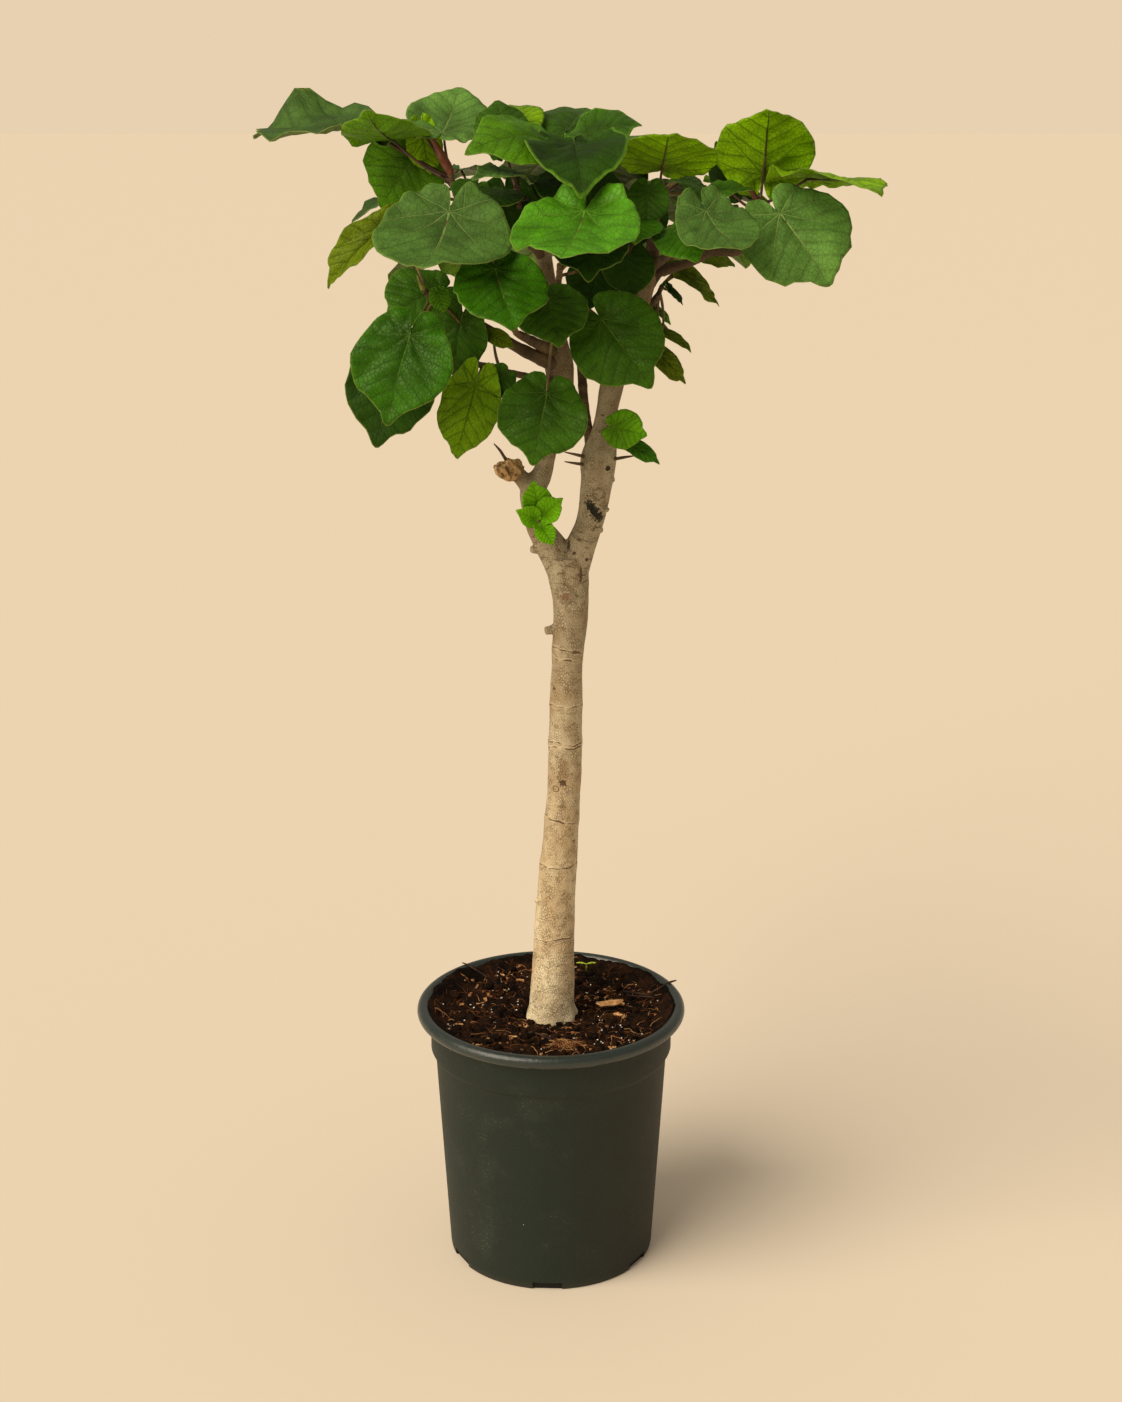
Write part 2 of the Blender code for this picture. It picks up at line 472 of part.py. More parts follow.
def blade(name, leaf, collection):
    """A closed heart-shaped blade: a fan round the hub, and on a large leaf a finer edge ring."""
    rings = blade_rings(leaf)
    columns = INNER_COLUMNS if len(rings) > 1 else PLAIN_COLUMNS
    work = bmesh.new()
    hub = work.verts.new(blade_point(leaf, 0.0, 0.0))
    ring = [work.verts.new(blade_point(leaf, angle, rings[0])) for angle in blade_angles(columns)]
    for k in range(columns):
        work.faces.new((hub, ring[k], ring[k + 1]))
    if len(rings) > 1:
        edge = [work.verts.new(blade_point(leaf, angle, rings[1])) for angle in blade_angles(2 * columns)]
        for k in range(columns):
            work.faces.new((ring[k], edge[2 * k], edge[2 * k + 1]))
            work.faces.new((ring[k], edge[2 * k + 1], ring[k + 1]))
            work.faces.new((ring[k + 1], edge[2 * k + 1], edge[2 * k + 2]))
    mesh = bpy.data.meshes.new(name)
    work.to_mesh(mesh)
    work.free()
    obj = add_object(name, mesh, collection)
    skin = obj.modifiers.new("Thickness", "SOLIDIFY")
    skin.thickness = BLADE_THICKNESS
    skin.offset = 0.0
    bake(obj)
    work = bmesh.new()
    work.from_mesh(obj.data)
    bmesh.ops.triangulate(work, faces=work.faces)
    bmesh.ops.recalc_face_normals(work, faces=work.faces)
    work.to_mesh(obj.data)
    work.free()
    return obj


def stalk_route(leaf, root):
    """The leaf stalk: a soft curve from the stem to the blade, then on along the midrib's underside."""
    _, _, along, _, up = leaf_frame(leaf)
    hub = blade_point(leaf, 0.0, 0.0)
    ahead = blade_point(leaf, 0.0, blade_rings(leaf)[0])
    end = hub + STALK_INSET * (ahead - hub).normalized() - (0.85 * STALK_RADIUS - RIB_SUNK) * up
    reach = (end - root).length
    middle = (root + end) / 2 - STALK_BOW * reach * (along + up) + Vector(leaf.bend)
    route = []
    spans = 3 if is_large(leaf) and not leaf.hidden else 2
    for k in range(spans + 1):
        t = k / spans
        place = root * (1 - t) ** 2 + middle * (2 * t * (1 - t)) + end * t * t
        route.append((*place, STALK_RADIUS * (1.3 - 0.45 * t)))
    rib_end = hub.lerp(ahead, 0.45) - (0.6 * STALK_RADIUS - RIB_SUNK) * up
    route.append((*rib_end, STALK_RADIUS * 0.6))
    return route


def bud(name, base, tip, radius, collection):
    """A long pointed bud scale over the shoot's growing point."""
    base = Vector(base)
    tip = Vector(tip)
    steps = ((-0.08, 0.5), (0.15, 1.0), (0.45, 0.85), (0.8, 0.4), (1.0, 0.1))
    return tube(name, [(*base.lerp(tip, t), radius * share) for t, share in steps], BRANCH_BEVEL, collection)


def union(name, pieces, collection, material, solver="EXACT"):
    """Fuse loose closed pieces into one solid with one Boolean union."""
    loose = make_collection(name + "_pieces")
    for piece in pieces[1:]:
        loose.objects.link(piece)
    base = pieces[0]
    base.name = name
    for old in list(base.users_collection):
        old.objects.unlink(base)
    collection.objects.link(base)
    join = base.modifiers.new("Union", "BOOLEAN")
    join.operation = "UNION"
    join.operand_type = "COLLECTION"
    join.collection = loose
    join.solver = solver
    bake(base)
    for piece in pieces[1:]:
        bpy.data.objects.remove(piece, do_unlink=True)
    bpy.data.collections.remove(loose)
    base.data.materials.clear()
    base.data.materials.append(material)
    return base


def branch_seat(branch):
    """Where a shoot starts: just past its branch's cut end, and the way the branch points there."""
    route = smooth_route(BRANCHES[branch], 2)
    end = Vector(route[-1][:3])
    way = (end - Vector(route[-2][:3])).normalized()
    return end + GAP * way, way, route[-1][3]


def stem_route(shoot):
    """A shoot's stem, from its seat on the branch through its own points."""
    seat, way, radius = branch_seat(shoot.branch)
    points = [(*seat, radius), (*(seat + STEM_COLLAR * way), shoot.radius)]
    points += [(*point, shoot.radius) for point in shoot.stem]
    return [tuple(points[0])] + [tuple(p) for p in smooth_route(points[1:], 2)]


def route_point(route, share):
    """The point at a share of a route's length."""
    spots = [Vector(p[:3]) for p in route]
    spans = [(b - a).length for a, b in zip(spots, spots[1:])]
    left = share * sum(spans)
    for a, b, span in zip(spots, spots[1:], spans):
        if left <= span:
            return a.lerp(b, left / span)
        left -= span
    return spots[-1]


def leafy_pieces(name, shoot, collection):
    """Every loose piece of one shoot: stem, stalks, blades and buds."""
    route = stem_route(shoot)
    pieces = [tube(name + "_stem", route, BRANCH_BEVEL, collection)]
    for i, leaf in enumerate(shoot.leaves):
        root = route_point(route, STALKS_FROM + STALKS_OVER * leaf.at)
        pieces.append(tube(f"{name}_stalk_{i}", stalk_route(leaf, root), STALK_BEVEL, collection))
        pieces.append(blade(f"{name}_blade_{i}", leaf, collection))
    for i, (base, tip, radius) in enumerate(shoot.buds):
        pieces.append(bud(f"{name}_bud_{i}", base, tip, radius, collection))
    return pieces


def grow_spray(spray):
    """A back shoot by rule: leaves fan out round the outward bearing and hang lower as they age."""
    draw = random.Random(SEED + spray.seed)
    end = Vector(spray.end)
    leaves = []
    for i in range(spray.count):
        turn = spray.bearing + spray.spread * (i / (spray.count - 1) - 0.5) + draw.uniform(-6, 6)
        bearing = math.radians(turn)
        out = Vector((math.cos(bearing), math.sin(bearing), 0.0))
        age = (i * 2 % spray.count) / spray.count
        at = 1.0 - 0.6 * age
        stalk = draw.uniform(0.045, 0.065) + 0.02 * age
        rise = draw.uniform(0.020, 0.035) - 0.045 * age
        hub = end + out * stalk + Vector((0.0, 0.0, rise))
        length = draw.uniform(0.066, 0.090)
        drop = math.radians(draw.uniform(12, 28) + 30 * age)
        tip = hub + length * (out * math.cos(drop) - Vector((0.0, 0.0, math.sin(drop))))
        faces = out * math.sin(drop) + Vector((0.0, 0.0, math.cos(drop)))
        leaves.append(Leaf(tuple(hub), tuple(tip), tuple(faces), draw.uniform(1.0, 1.2), at=at,
                           hidden=True))
    return Shoot(spray.branch, [spray.end], leaves)


def all_shoots():
    """The hand-placed shoots of the visible crown and the ruled ones behind them."""
    shoots = dict(SHOOTS)
    for name, spray in SPRAYS.items():
        shoots[name] = grow_spray(spray)
    return shoots


def turned(name, profile, steps, collection):
    """A turned solid: a profile of radius and height, screwed once round the Z axis."""
    work = bmesh.new()
    line = [work.verts.new((radius, 0.0, height)) for radius, height in profile]
    for a, b in zip(line, line[1:]):
        work.edges.new((a, b))
    mesh = bpy.data.meshes.new(name)
    work.to_mesh(mesh)
    work.free()
    obj = add_object(name, mesh, collection)
    screw = obj.modifiers.new("Turn", "SCREW")
    screw.steps = steps
    screw.render_steps = steps
    screw.use_merge_vertices = True
    screw.merge_threshold = 0.0001
    return obj


def inner_wall_radius(height):
    """The pot's inner radius at a height: the tapered wall, then the collar."""
    if height < COLLAR_BOTTOM:
        share = height / COLLAR_BOTTOM
        return BASE_RADIUS + (WALL_TOP_RADIUS - BASE_RADIUS) * share - WALL
    return COLLAR_RADIUS - WALL


def build_pot(parts, cutters):
    """The nursery pot: turned body, then foot notches and drain holes cut through."""
    roll = RIM_ROLL
    shoulder = COLLAR_BOTTOM - SHOULDER_DROP
    rim_centre = RIM_RADIUS - roll
    rim_level = POT_HEIGHT - roll
    profile = [(0.0, FLOOR_TOP), (inner_wall_radius(FLOOR_TOP), FLOOR_TOP)]
    profile += [(inner_wall_radius(shoulder), shoulder)]
    profile += [(inner_wall_radius(COLLAR_BOTTOM), COLLAR_BOTTOM), (COLLAR_RADIUS - WALL, rim_level - roll)]
    profile += [(RIM_INNER_RADIUS, POT_HEIGHT - LIP_DROP)]
    profile += [(RIM_INNER_RADIUS + LIP_WIDTH, POT_HEIGHT - LIP_CREST_DROP)]
    for degrees in ROLL_STEPS:
        angle = math.radians(degrees)
        profile.append((rim_centre + roll * math.cos(angle), rim_level + roll * math.sin(angle)))
    profile += [(COLLAR_RADIUS + ROLL_FOOT_WIDTH, rim_level - roll)]
    profile += [(COLLAR_RADIUS, rim_level - roll - ROLL_FOOT)]
    profile += [(COLLAR_RADIUS, COLLAR_BOTTOM), (WALL_TOP_RADIUS, COLLAR_BOTTOM - SHOULDER_SLOPE)]
    profile += [(BASE_RADIUS + FOOT_EDGE, 4 * FOOT_EDGE), (BASE_RADIUS, 0.0)]
    profile += [(BASE_RADIUS - FOOT_WIDTH, 0.0), (BASE_RADIUS - FOOT_WIDTH - ROLL_FOOT, BASE_RAISE)]
    profile += [(0.0, BASE_RAISE)]
    pot = turned("pot", profile, POT_STEPS, parts)
    for k in range(NOTCH_COUNT):
        angle = NOTCH_TURN + 2 * math.pi * k / NOTCH_COUNT
        mesh = bpy.data.meshes.new(f"notch_{k}")
        work = bmesh.new()
        bmesh.ops.create_cube(work, size=1.0)
        bmesh.ops.scale(work, vec=(NOTCH_DEPTH, NOTCH_WIDTH, 2 * NOTCH_HEIGHT), verts=work.verts)
        work.to_mesh(mesh)
        work.free()
        cutter = add_object(f"notch_{k}", mesh, cutters)
        reach = BASE_RADIUS - FOOT_WIDTH / 2 + NOTCH_DEPTH / 10
        cutter.location = (reach * math.cos(angle), reach * math.sin(angle), 0.0)
        cutter.rotation_euler = (0.0, 0.0, angle)
    for k in range(DRAIN_COUNT):
        angle = NOTCH_TURN + 2 * math.pi * (k + 0.5) / DRAIN_COUNT
        mesh = bpy.data.meshes.new(f"drain_{k}")
        work = bmesh.new()
        bmesh.ops.create_cone(work, cap_ends=True, segments=10, radius1=DRAIN_RADIUS,
                              radius2=DRAIN_RADIUS, depth=DRAIN_DEPTH)
        work.to_mesh(mesh)
        work.free()
        cutter = add_object(f"drain_{k}", mesh, cutters)
        cutter.location = (DRAIN_RING * math.cos(angle), DRAIN_RING * math.sin(angle), FLOOR_TOP)
    for cutter in cutters.objects:
        cutter.hide_render = True
        cutter.display_type = "WIRE"
    cut = pot.modifiers.new("Foot notches and drains", "BOOLEAN")
    cut.operation = "DIFFERENCE"
    cut.operand_type = "COLLECTION"
    cut.collection = cutters
    pot.data.materials.append(make_material("pot_plastic", POT_GREEN, 0.55))
    return pot


def soil_height(radius):
    """The soil's height at a distance from the trunk: level, and dipping towards the trunk."""
    return SOIL_TOP - SOIL_DIP * max(0.0, 1.0 - (radius - HOLE_RADIUS) / DIP_REACH) ** 2


def build_soil(parts):
    """The soil: a turned plug with the trunk's hole, and its top roughened by noise."""
    bottom = FLOOR_TOP + GAP
    shoulder = COLLAR_BOTTOM - SHOULDER_DROP - GAP
    side = SOIL_SIDE_GAP
    profile = [(0.0, HOLE_FLOOR - GAP), (HOLE_RADIUS, HOLE_FLOOR - GAP)]
    profile += [(radius, soil_height(radius)) for radius in SOIL_RINGS]
    profile += [(inner_wall_radius(SOIL_TOP - SOIL_EDGE_DROP) - side, SOIL_TOP - SOIL_EDGE_DROP)]
    profile += [(inner_wall_radius(COLLAR_BOTTOM) - side, COLLAR_BOTTOM + SOIL_SHOULDER_LIFT)]
    profile += [(inner_wall_radius(shoulder) - 2 * side, COLLAR_BOTTOM - SHOULDER_DROP)]
    profile += [(inner_wall_radius(bottom) - side, bottom), (0.0, bottom)]
    soil = bake(turned("soil", profile, POT_STEPS, parts))
    for vertex in soil.data.vertices:
        reach = math.hypot(vertex.co.x, vertex.co.y)
        if vertex.co.z > SOIL_TOP - SOIL_DIP and HOLE_RADIUS + 0.004 < reach < COLLAR_RADIUS - 0.010:
            spot = Vector((vertex.co.x, vertex.co.y, 0.0)) * SOIL_GRAIN
            vertex.co.z += SOIL_BUMP * noise.noise(spot) + 0.5 * SOIL_BUMP * noise.noise(3.1 * spot)
    soil.data.materials.append(make_material("potting_soil", SOIL_BROWN, 0.95))
    return soil


def gall(collection):
    """The knobbly gall on the pruned stub of the left limb: a ball pushed in and out by noise."""
    mesh = bpy.data.meshes.new("gall")
    work = bmesh.new()
    bmesh.ops.create_icosphere(work, subdivisions=2, radius=1.0)
    for vertex in work.verts:
        swell = 1.0 + 0.28 * noise.noise(1.9 * vertex.co)
        vertex.co = Vector([c * s * swell for c, s in zip(vertex.co, GALL_SIZE)])
    bmesh.ops.translate(work, vec=GALL_CENTRE, verts=work.verts)
    work.to_mesh(mesh)
    work.free()
    return add_object("gall", mesh, collection)


def build_tree(parts, bench):
    """The woody plant as one grown piece: trunk, limbs, gall, branches, stubs and twigs."""
    pieces = [tube("trunk", TRUNK, TRUNK_BEVEL, bench)]
    pieces.append(tube("right_limb", RIGHT_LIMB, LIMB_BEVEL, bench))
    pieces.append(tube("left_limb", LEFT_LIMB, LIMB_BEVEL, bench))
    pieces.append(tube("gall_stalk", smooth_route(GALL_STALK, 2), BRANCH_BEVEL, bench))
    pieces.append(gall(bench))
    for name, points in BRANCHES.items():
        per_span = 1 if name.startswith("back") else 2
        pieces.append(tube("branch_" + name, smooth_route(points, per_span), BRANCH_BEVEL, bench))
    for k, (root, end, root_radius, end_radius) in enumerate(STUBS):
        middle = Vector(root).lerp(Vector(end), 0.6)
        route = [(*root, root_radius), (*middle, 0.6 * end_radius + 0.4 * root_radius)]
        pieces.append(tube(f"stub_{k}", route + [(*end, end_radius)], STALK_BEVEL, bench))
    return union("tree", pieces, parts, make_material("bark", BARK, 0.85))


def main():
    """Build every part."""
    clear_scene()
    parts = make_collection("umbrella_fig")
    cutters = make_collection("cutters")
    bench = make_collection("bench")
    build_pot(parts, cutters)
    build_soil(parts)
    build_tree(parts, bench)
    leaf_material = make_material("leaf", LEAF_GREEN, 0.4)
    for name, shoot in all_shoots().items():
        union(name, leafy_pieces(name, shoot, bench), parts, leaf_material)
    bpy.data.collections.remove(bench)


if __name__ == "__main__":
    main()
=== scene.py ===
"""Potted umbrella fig, dressed: finer leaves, bark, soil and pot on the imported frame.

Units are metres and +Z is up. The front of the plant faces -Y and the floor is at height 0. Sizes and
places repeat those of the part's solids, and each new piece stands for the solid it is modelled on.
"""
import logging
import math
import random
from collections.abc import Iterable
from dataclasses import dataclass
from enum import Enum
from typing import ClassVar

import bmesh
import bpy
from mathutils import Matrix, Vector, noise


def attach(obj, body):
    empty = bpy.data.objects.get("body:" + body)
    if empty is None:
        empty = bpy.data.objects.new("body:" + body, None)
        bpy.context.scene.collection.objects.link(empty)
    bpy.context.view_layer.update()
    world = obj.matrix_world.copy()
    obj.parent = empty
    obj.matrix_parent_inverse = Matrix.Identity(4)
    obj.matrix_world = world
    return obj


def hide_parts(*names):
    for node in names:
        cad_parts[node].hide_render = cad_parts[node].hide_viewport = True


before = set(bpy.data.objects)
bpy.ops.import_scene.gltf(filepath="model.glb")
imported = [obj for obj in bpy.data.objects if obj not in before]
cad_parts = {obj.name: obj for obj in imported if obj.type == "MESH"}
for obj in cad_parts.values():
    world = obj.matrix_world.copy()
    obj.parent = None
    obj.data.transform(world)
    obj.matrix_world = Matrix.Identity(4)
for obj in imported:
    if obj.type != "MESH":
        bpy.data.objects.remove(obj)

LOG = logging.getLogger("umbrella_fig")
BODY = "root"
SEED = 20
Z_AXIS = Vector((0.0, 0.0, 1.0))
ORIGIN = (0.0, 0.0, 0.0)
MERGE_REACH = 1e-5
# The bearings of a leaf's main veins from its midrib; the last one bounds the lobe behind the hub.
VEINS = tuple(math.radians(degrees) for degrees in (0.0, 41.0, 84.0, 128.0, 176.0))
Triple = tuple[float, float, float]
Route = list[tuple[float, float, float, float]]
NodeTree = bpy.types.NodeTree
Node = bpy.types.Node
Socket = bpy.types.NodeSocket
Material = bpy.types.Material
BMesh = bmesh.types.BMesh
Piece = bpy.types.Object


def srgb(red: float, green: float, blue: float) -> tuple[float, float, float, float]:
    """A colour given in 0 to 255 screen values, as linear light with full alpha."""
    straight_part = 10
    linear = [value / 255 / 12.92 if value <= straight_part else ((value / 255 + 0.055) / 1.055) ** 2.4
              for value in (red, green, blue)]
    return (*linear, 1.0)


def hump(off: float, width: float) -> float:
    """A smooth hump of height 1 that falls off to both sides of 0."""
    return math.exp(-(off / width) ** 2)


class Graph:
    """Short calls that add nodes and links to a material or a node group."""

    def __init__(self, tree: NodeTree) -> None:
        """Work on the given node tree."""
        self.tree = tree

    def add(self, kind: str, inputs: dict | None = None, **settings: object) -> Node:
        """Add a shader node.

        Args:
            kind: The node's type without its "ShaderNode" prefix.
            inputs: Socket name or number to a value or an output socket.
            **settings: Properties of the node.

        Returns:
            The new node.
        """
        node = self.tree.nodes.new("ShaderNode" + kind)
        for name, value in settings.items():
            setattr(node, name, value)
        for socket, value in (inputs or {}).items():
            self.feed(node.inputs[socket], value)
        return node

    def feed(self, socket: Socket, value: object) -> None:
        """Link an output into a socket, or set the socket's own value."""
        if isinstance(value, Socket):
            self.tree.links.new(value, socket)
        else:
            socket.default_value = value

    def math(self, operation: str, *values: object) -> Socket:
        """The result of a Math node on its values."""
        return self.add("Math", dict(enumerate(values)), operation=operation).outputs[0]

    def times(self, first: object, second: object) -> Socket:
        """The product of two values."""
        return self.math("MULTIPLY", first, second)

    def plus(self, first: object, second: object) -> Socket:
        """The sum of two values."""
        return self.math("ADD", first, second)

    def minus(self, first: object, second: object) -> Socket:
        """The first value less the second."""
        return self.math("SUBTRACT", first, second)

    def larger(self, first: object, second: object) -> Socket:
        """The larger of two values."""
        return self.math("MAXIMUM", first, second)

    def away(self, value: object, mark: object) -> Socket:
        """How far a value is from a mark, either way."""
        return self.math("ABSOLUTE", self.minus(value, mark))

    def vector(self, operation: str, *values: object) -> Socket:
        """The vector result of a Vector Math node, or its value for a length."""
        node = self.add("VectorMath", dict(enumerate(values)), operation=operation)
        return node.outputs[1 if operation == "LENGTH" else 0]

    def mix(self, factor: object, first: object, second: object, blend: str = "MIX") -> Socket:
        """A colour between two colours.

        Args:
            factor: The share of the second colour.
            first: The first colour or colour socket.
            second: The second colour or colour socket.
            blend: How the second is laid on the first.

        Returns:
            The mixed colour's socket.
        """
        node = self.add("Mix", data_type="RGBA", blend_type=blend)
        for index, value in ((0, factor), (6, first), (7, second)):
            self.feed(node.inputs[index], value)
        return node.outputs[2]

    def tint(self, colour: object, tone: object, mask: object, share: float) -> Socket:
        """A colour with a tone laid on it, where a mask shows and at a share of its strength."""
        return self.mix(self.times(mask, share), colour, tone)

    def lit(self, colour: object, light: object) -> Socket:
        """A colour made lighter or darker by a value."""
        grey = self.add("CombineColor", dict.fromkeys(range(3), light)).outputs[0]
        return self.mix(1.0, colour, grey, "MULTIPLY")

    def fade(self, value: object, start: float, end: float, low: float = 0.0, high: float = 1.0) -> Socket:
        """A smooth step of a value.

        Args:
            value: The value socket to read.
            start: Where the step begins.
            end: Where the step ends.
            low: The result at the start.
            high: The result at the end.

        Returns:
            The stepped value's socket.
        """
        node = self.add("MapRange", interpolation_type="SMOOTHSTEP")
        for index, entry in enumerate((value, start, end, low, high)):
            self.feed(node.inputs[index], entry)
        return node.outputs[0]

    def noise(self, vector: object, scale: object, detail: float = 3.0, rough: float = 0.55) -> Socket:
        """Soft noise from 0 to 1 at a scale per metre."""
        values = {"Vector": vector, "Scale": scale, "Detail": detail, "Roughness": rough}
        return self.add("TexNoise", values).outputs[0]

    def wander(self, vector: object, scale: float, detail: float, amount: object) -> Socket:
        """Soft noise round 0, half its amount to either side."""
        return self.times(self.minus(self.noise(vector, scale, detail), 0.5), amount)

    def cells(self, vector: object, scale: object, feature: str = "F1") -> Node:
        """A Voronoi node of the given feature at a scale per metre."""
        return self.add("TexVoronoi", {"Vector": vector, "Scale": scale}, feature=feature)

    def stretched(self, vector: object, scale: Triple) -> Socket:
        """A pattern space drawn out or pressed together along its axes."""
        return self.vector("MULTIPLY", vector, scale)

    def use(self, group: NodeTree, **inputs: object) -> Node:
        """Place a node group and feed its inputs, whose blanks are written as underscores."""
        node = self.tree.nodes.new("ShaderNodeGroup")
        node.node_tree = group
        for name, value in inputs.items():
            self.feed(node.inputs[name.replace("_", " ")], value)
        return node


class Effect:
    """A shader node group that several finishes share."""

    def __init__(self, name: str, vectors: str, values: str, outputs: str) -> None:
        """Start a group, whose sockets are named in one line of words for each kind.

        Args:
            name: The group's name.
            vectors: Its vector inputs.
            values: Its value inputs.
            outputs: The values that it gives.
        """
        self.tree = bpy.data.node_groups.new(name, "ShaderNodeTree")
        for way, kind, names in (("INPUT", "Vector", vectors), ("INPUT", "Float", values),
                                 ("OUTPUT", "Float", outputs)):
            for socket in names.split():
                self.tree.interface.new_socket(socket, in_out=way, socket_type="NodeSocket" + kind)
        self.graph = Graph(self.tree)
        entry = self.tree.nodes.new("NodeGroupInput")
        self.takes = [entry.outputs[socket] for socket in (vectors + " " + values).split()]
        self.exit = self.tree.nodes.new("NodeGroupOutput")

    def give(self, name: str, value: object) -> None:
        """Send a value out through the named output."""
        self.graph.feed(self.exit.inputs[name], value)


class Effects:
    """The node groups that finishes share: leaf veins, fine specks, a marked spot and layered grain."""

    def __init__(self) -> None:
        """Build every group once."""
        self.specks = self.build_specks()
        self.spot = self.build_spot()
        self.grain = self.build_grain()
        self.veins = self.build_veins()

    def dress(self, *finishes: "Finish") -> list[Material]:
        """The materials of some finishes."""
        return [finish.material(self) for finish in finishes]

    def speckle(self, graph: Graph, place: object, scale: float, share: float, radius: float) -> Socket:
        """The mask of round specks at a scale per metre, of which a share is kept."""
        return graph.use(self.specks, Position=place, Scale=scale, Share=share, Radius=radius).outputs[0]

    @staticmethod
    def build_specks() -> NodeTree:
        """Scattered round specks, of which a share is kept."""
        effect = Effect("specks", "Position", "Scale Share Radius", "Mask")
        g = effect.graph
        place, scale, share, radius = effect.takes
        dots = g.cells(place, scale)
        pick = g.add("SeparateColor", {0: dots.outputs["Color"]}).outputs[0]
        kept = g.math("LESS_THAN", pick, share)
        size = g.times(radius, g.plus(0.5, pick))
        close = g.minus(1.0, g.math("DIVIDE", dots.outputs["Distance"], size))
        effect.give("Mask", g.times(kept, g.fade(close, 0.0, 0.35)))
        return effect.tree

    @staticmethod
    def build_spot() -> NodeTree:
        """A marked place with a ragged edge, and the ring round it."""
        effect = Effect("spot", "Position Centre Size", "Rough", "Mask Ring")
        g = effect.graph
        place, centre, size, rough = effect.takes
        away = g.vector("DIVIDE", g.vector("SUBTRACT", place, centre), size)
        reach = g.plus(g.vector("LENGTH", away), g.wander(place, 330.0, 3.0, rough))
        effect.give("Mask", g.fade(reach, 1.0, 0.7))
        effect.give("Ring", g.fade(g.away(reach, 1.0), 0.22, 0.06))
        return effect.tree

    @staticmethod
    def build_grain() -> NodeTree:
        """Two layers of noise as one height, with the coarse layer also given alone."""
        effect = Effect("grain", "Position", "Coarse Fine", "Height Patches")
        g = effect.graph
        place, coarse, fine = effect.takes
        patches = g.noise(place, coarse, 4.0)
        effect.give("Height", g.plus(g.times(patches, 0.6), g.times(g.noise(place, fine, 2.0), 0.4)))
        effect.give("Patches", patches)
        return effect.tree

    @staticmethod
    def build_veins() -> NodeTree:
        """Veins on the leaf's own plan: midrib and side ribs, their branches, the net and the panels."""
        effect = Effect("veins", "Plan", "Width", "Ribs Branches Net Swell")
        g = effect.graph
        place, width = effect.takes
        bend = g.wander(place, 5.0, 2.0, 0.035)
        plan = g.add("SeparateXYZ", {0: place})
        across = g.plus(g.times(g.away(plan.outputs[0], 0.5), 2.0), bend)
        forward = g.times(g.minus(plan.outputs[1], 0.5), 2.5)
        risen = g.minus(g.minus(forward, g.times(g.math("POWER", across, 2.0), 0.45)), bend)
        sides = []
        for angle in VEINS:
            off = g.minus(g.times(across, math.cos(angle)), g.times(risen, math.sin(angle)))
            along = g.plus(g.times(across, math.sin(angle)), g.times(risen, math.cos(angle)))
            sides.append((off, along))
        layers = []
        for index, (off, along) in enumerate(sides[:-1]):
            share, last = (0.75, 0.2) if index else (1.0, 0.35)
            taper = g.times(width, g.fade(along, 0.0, 1.05, share, 0.2 * share))
            rib = g.minus(1.0, g.math("DIVIDE", g.math("ABSOLUTE", off), taper))
            rib = g.times(g.fade(rib, 0.0, 0.6), g.fade(along, -0.01, 0.03))
            rib = g.times(rib, g.fade(along, 0.25, 0.95, 1.0, last))
            inside = g.times(g.math("GREATER_THAN", off, 0.0), g.math("LESS_THAN", sides[index + 1][0], 0.0))
            inside = g.times(inside, g.math("GREATER_THAN", along, 0.08))
            phase = g.times(g.minus(along, g.times(off, 0.62)), 5.6 - 0.5 * index)
            gap = g.away(g.math("FRACT", phase), 0.5)
            branch, swell = g.fade(gap, 0.035, 0.01), g.fade(gap, 0.0, 0.5)
            layers.append((rib, g.times(inside, branch), g.times(inside, swell)))
        for name, (first, *others) in zip(("Ribs", "Branches", "Swell"), zip(*layers)):
            for other in others:
                first = g.larger(first, other)
            effect.give(name, first)
        crooked = g.add("TexNoise", {"Vector": place, "Scale": 30.0}).outputs[1]
        crooked = g.vector("ADD", place, g.stretched(crooked, (0.012, 0.012, 0.0)))
        effect.give("Net", g.fade(g.cells(crooked, 44.0, "DISTANCE_TO_EDGE").outputs["Distance"], 0.1, 0.0))
        return effect.tree


@dataclass(frozen=True)
class Finish:
    """A Principled finish with its constant values; each kind of finish adds its own pattern."""

    name: str
    rough: float = 0.5
    specular: float = 0.5

    def start(self) -> tuple[Material, Graph, Node, Socket]:
        """A new material with its graph, its Principled shader and the place on the piece in metres."""
        material = bpy.data.materials.new(self.name)
        material.use_nodes = True
        shader = material.node_tree.nodes["Principled BSDF"]
        shader.inputs["Roughness"].default_value = self.rough
        shader.inputs["Specular IOR Level"].default_value = self.specular
        graph = Graph(material.node_tree)
        return material, graph, shader, graph.add("TexCoord").outputs["Object"]

    @staticmethod
    def close(graph: Graph, shader: Node, colour: Socket, rough: Socket, height: Socket,
              relief: float) -> None:
        """Feed colour, roughness and a bump into the shader.

        Args:
            graph: The material's graph.
            shader: The Principled shader.
            colour: The colour's socket.
            rough: The roughness's socket.
            height: The height's socket, from 0 to 1.
            relief: How high 1 is, in metres.
        """
        bump = graph.add("Bump", {"Height": height, "Distance": relief, "Strength": 1.0}).outputs[0]
        for socket, value in (("Base Color", colour), ("Roughness", rough), ("Normal", bump)):
            graph.feed(shader.inputs[socket], value)


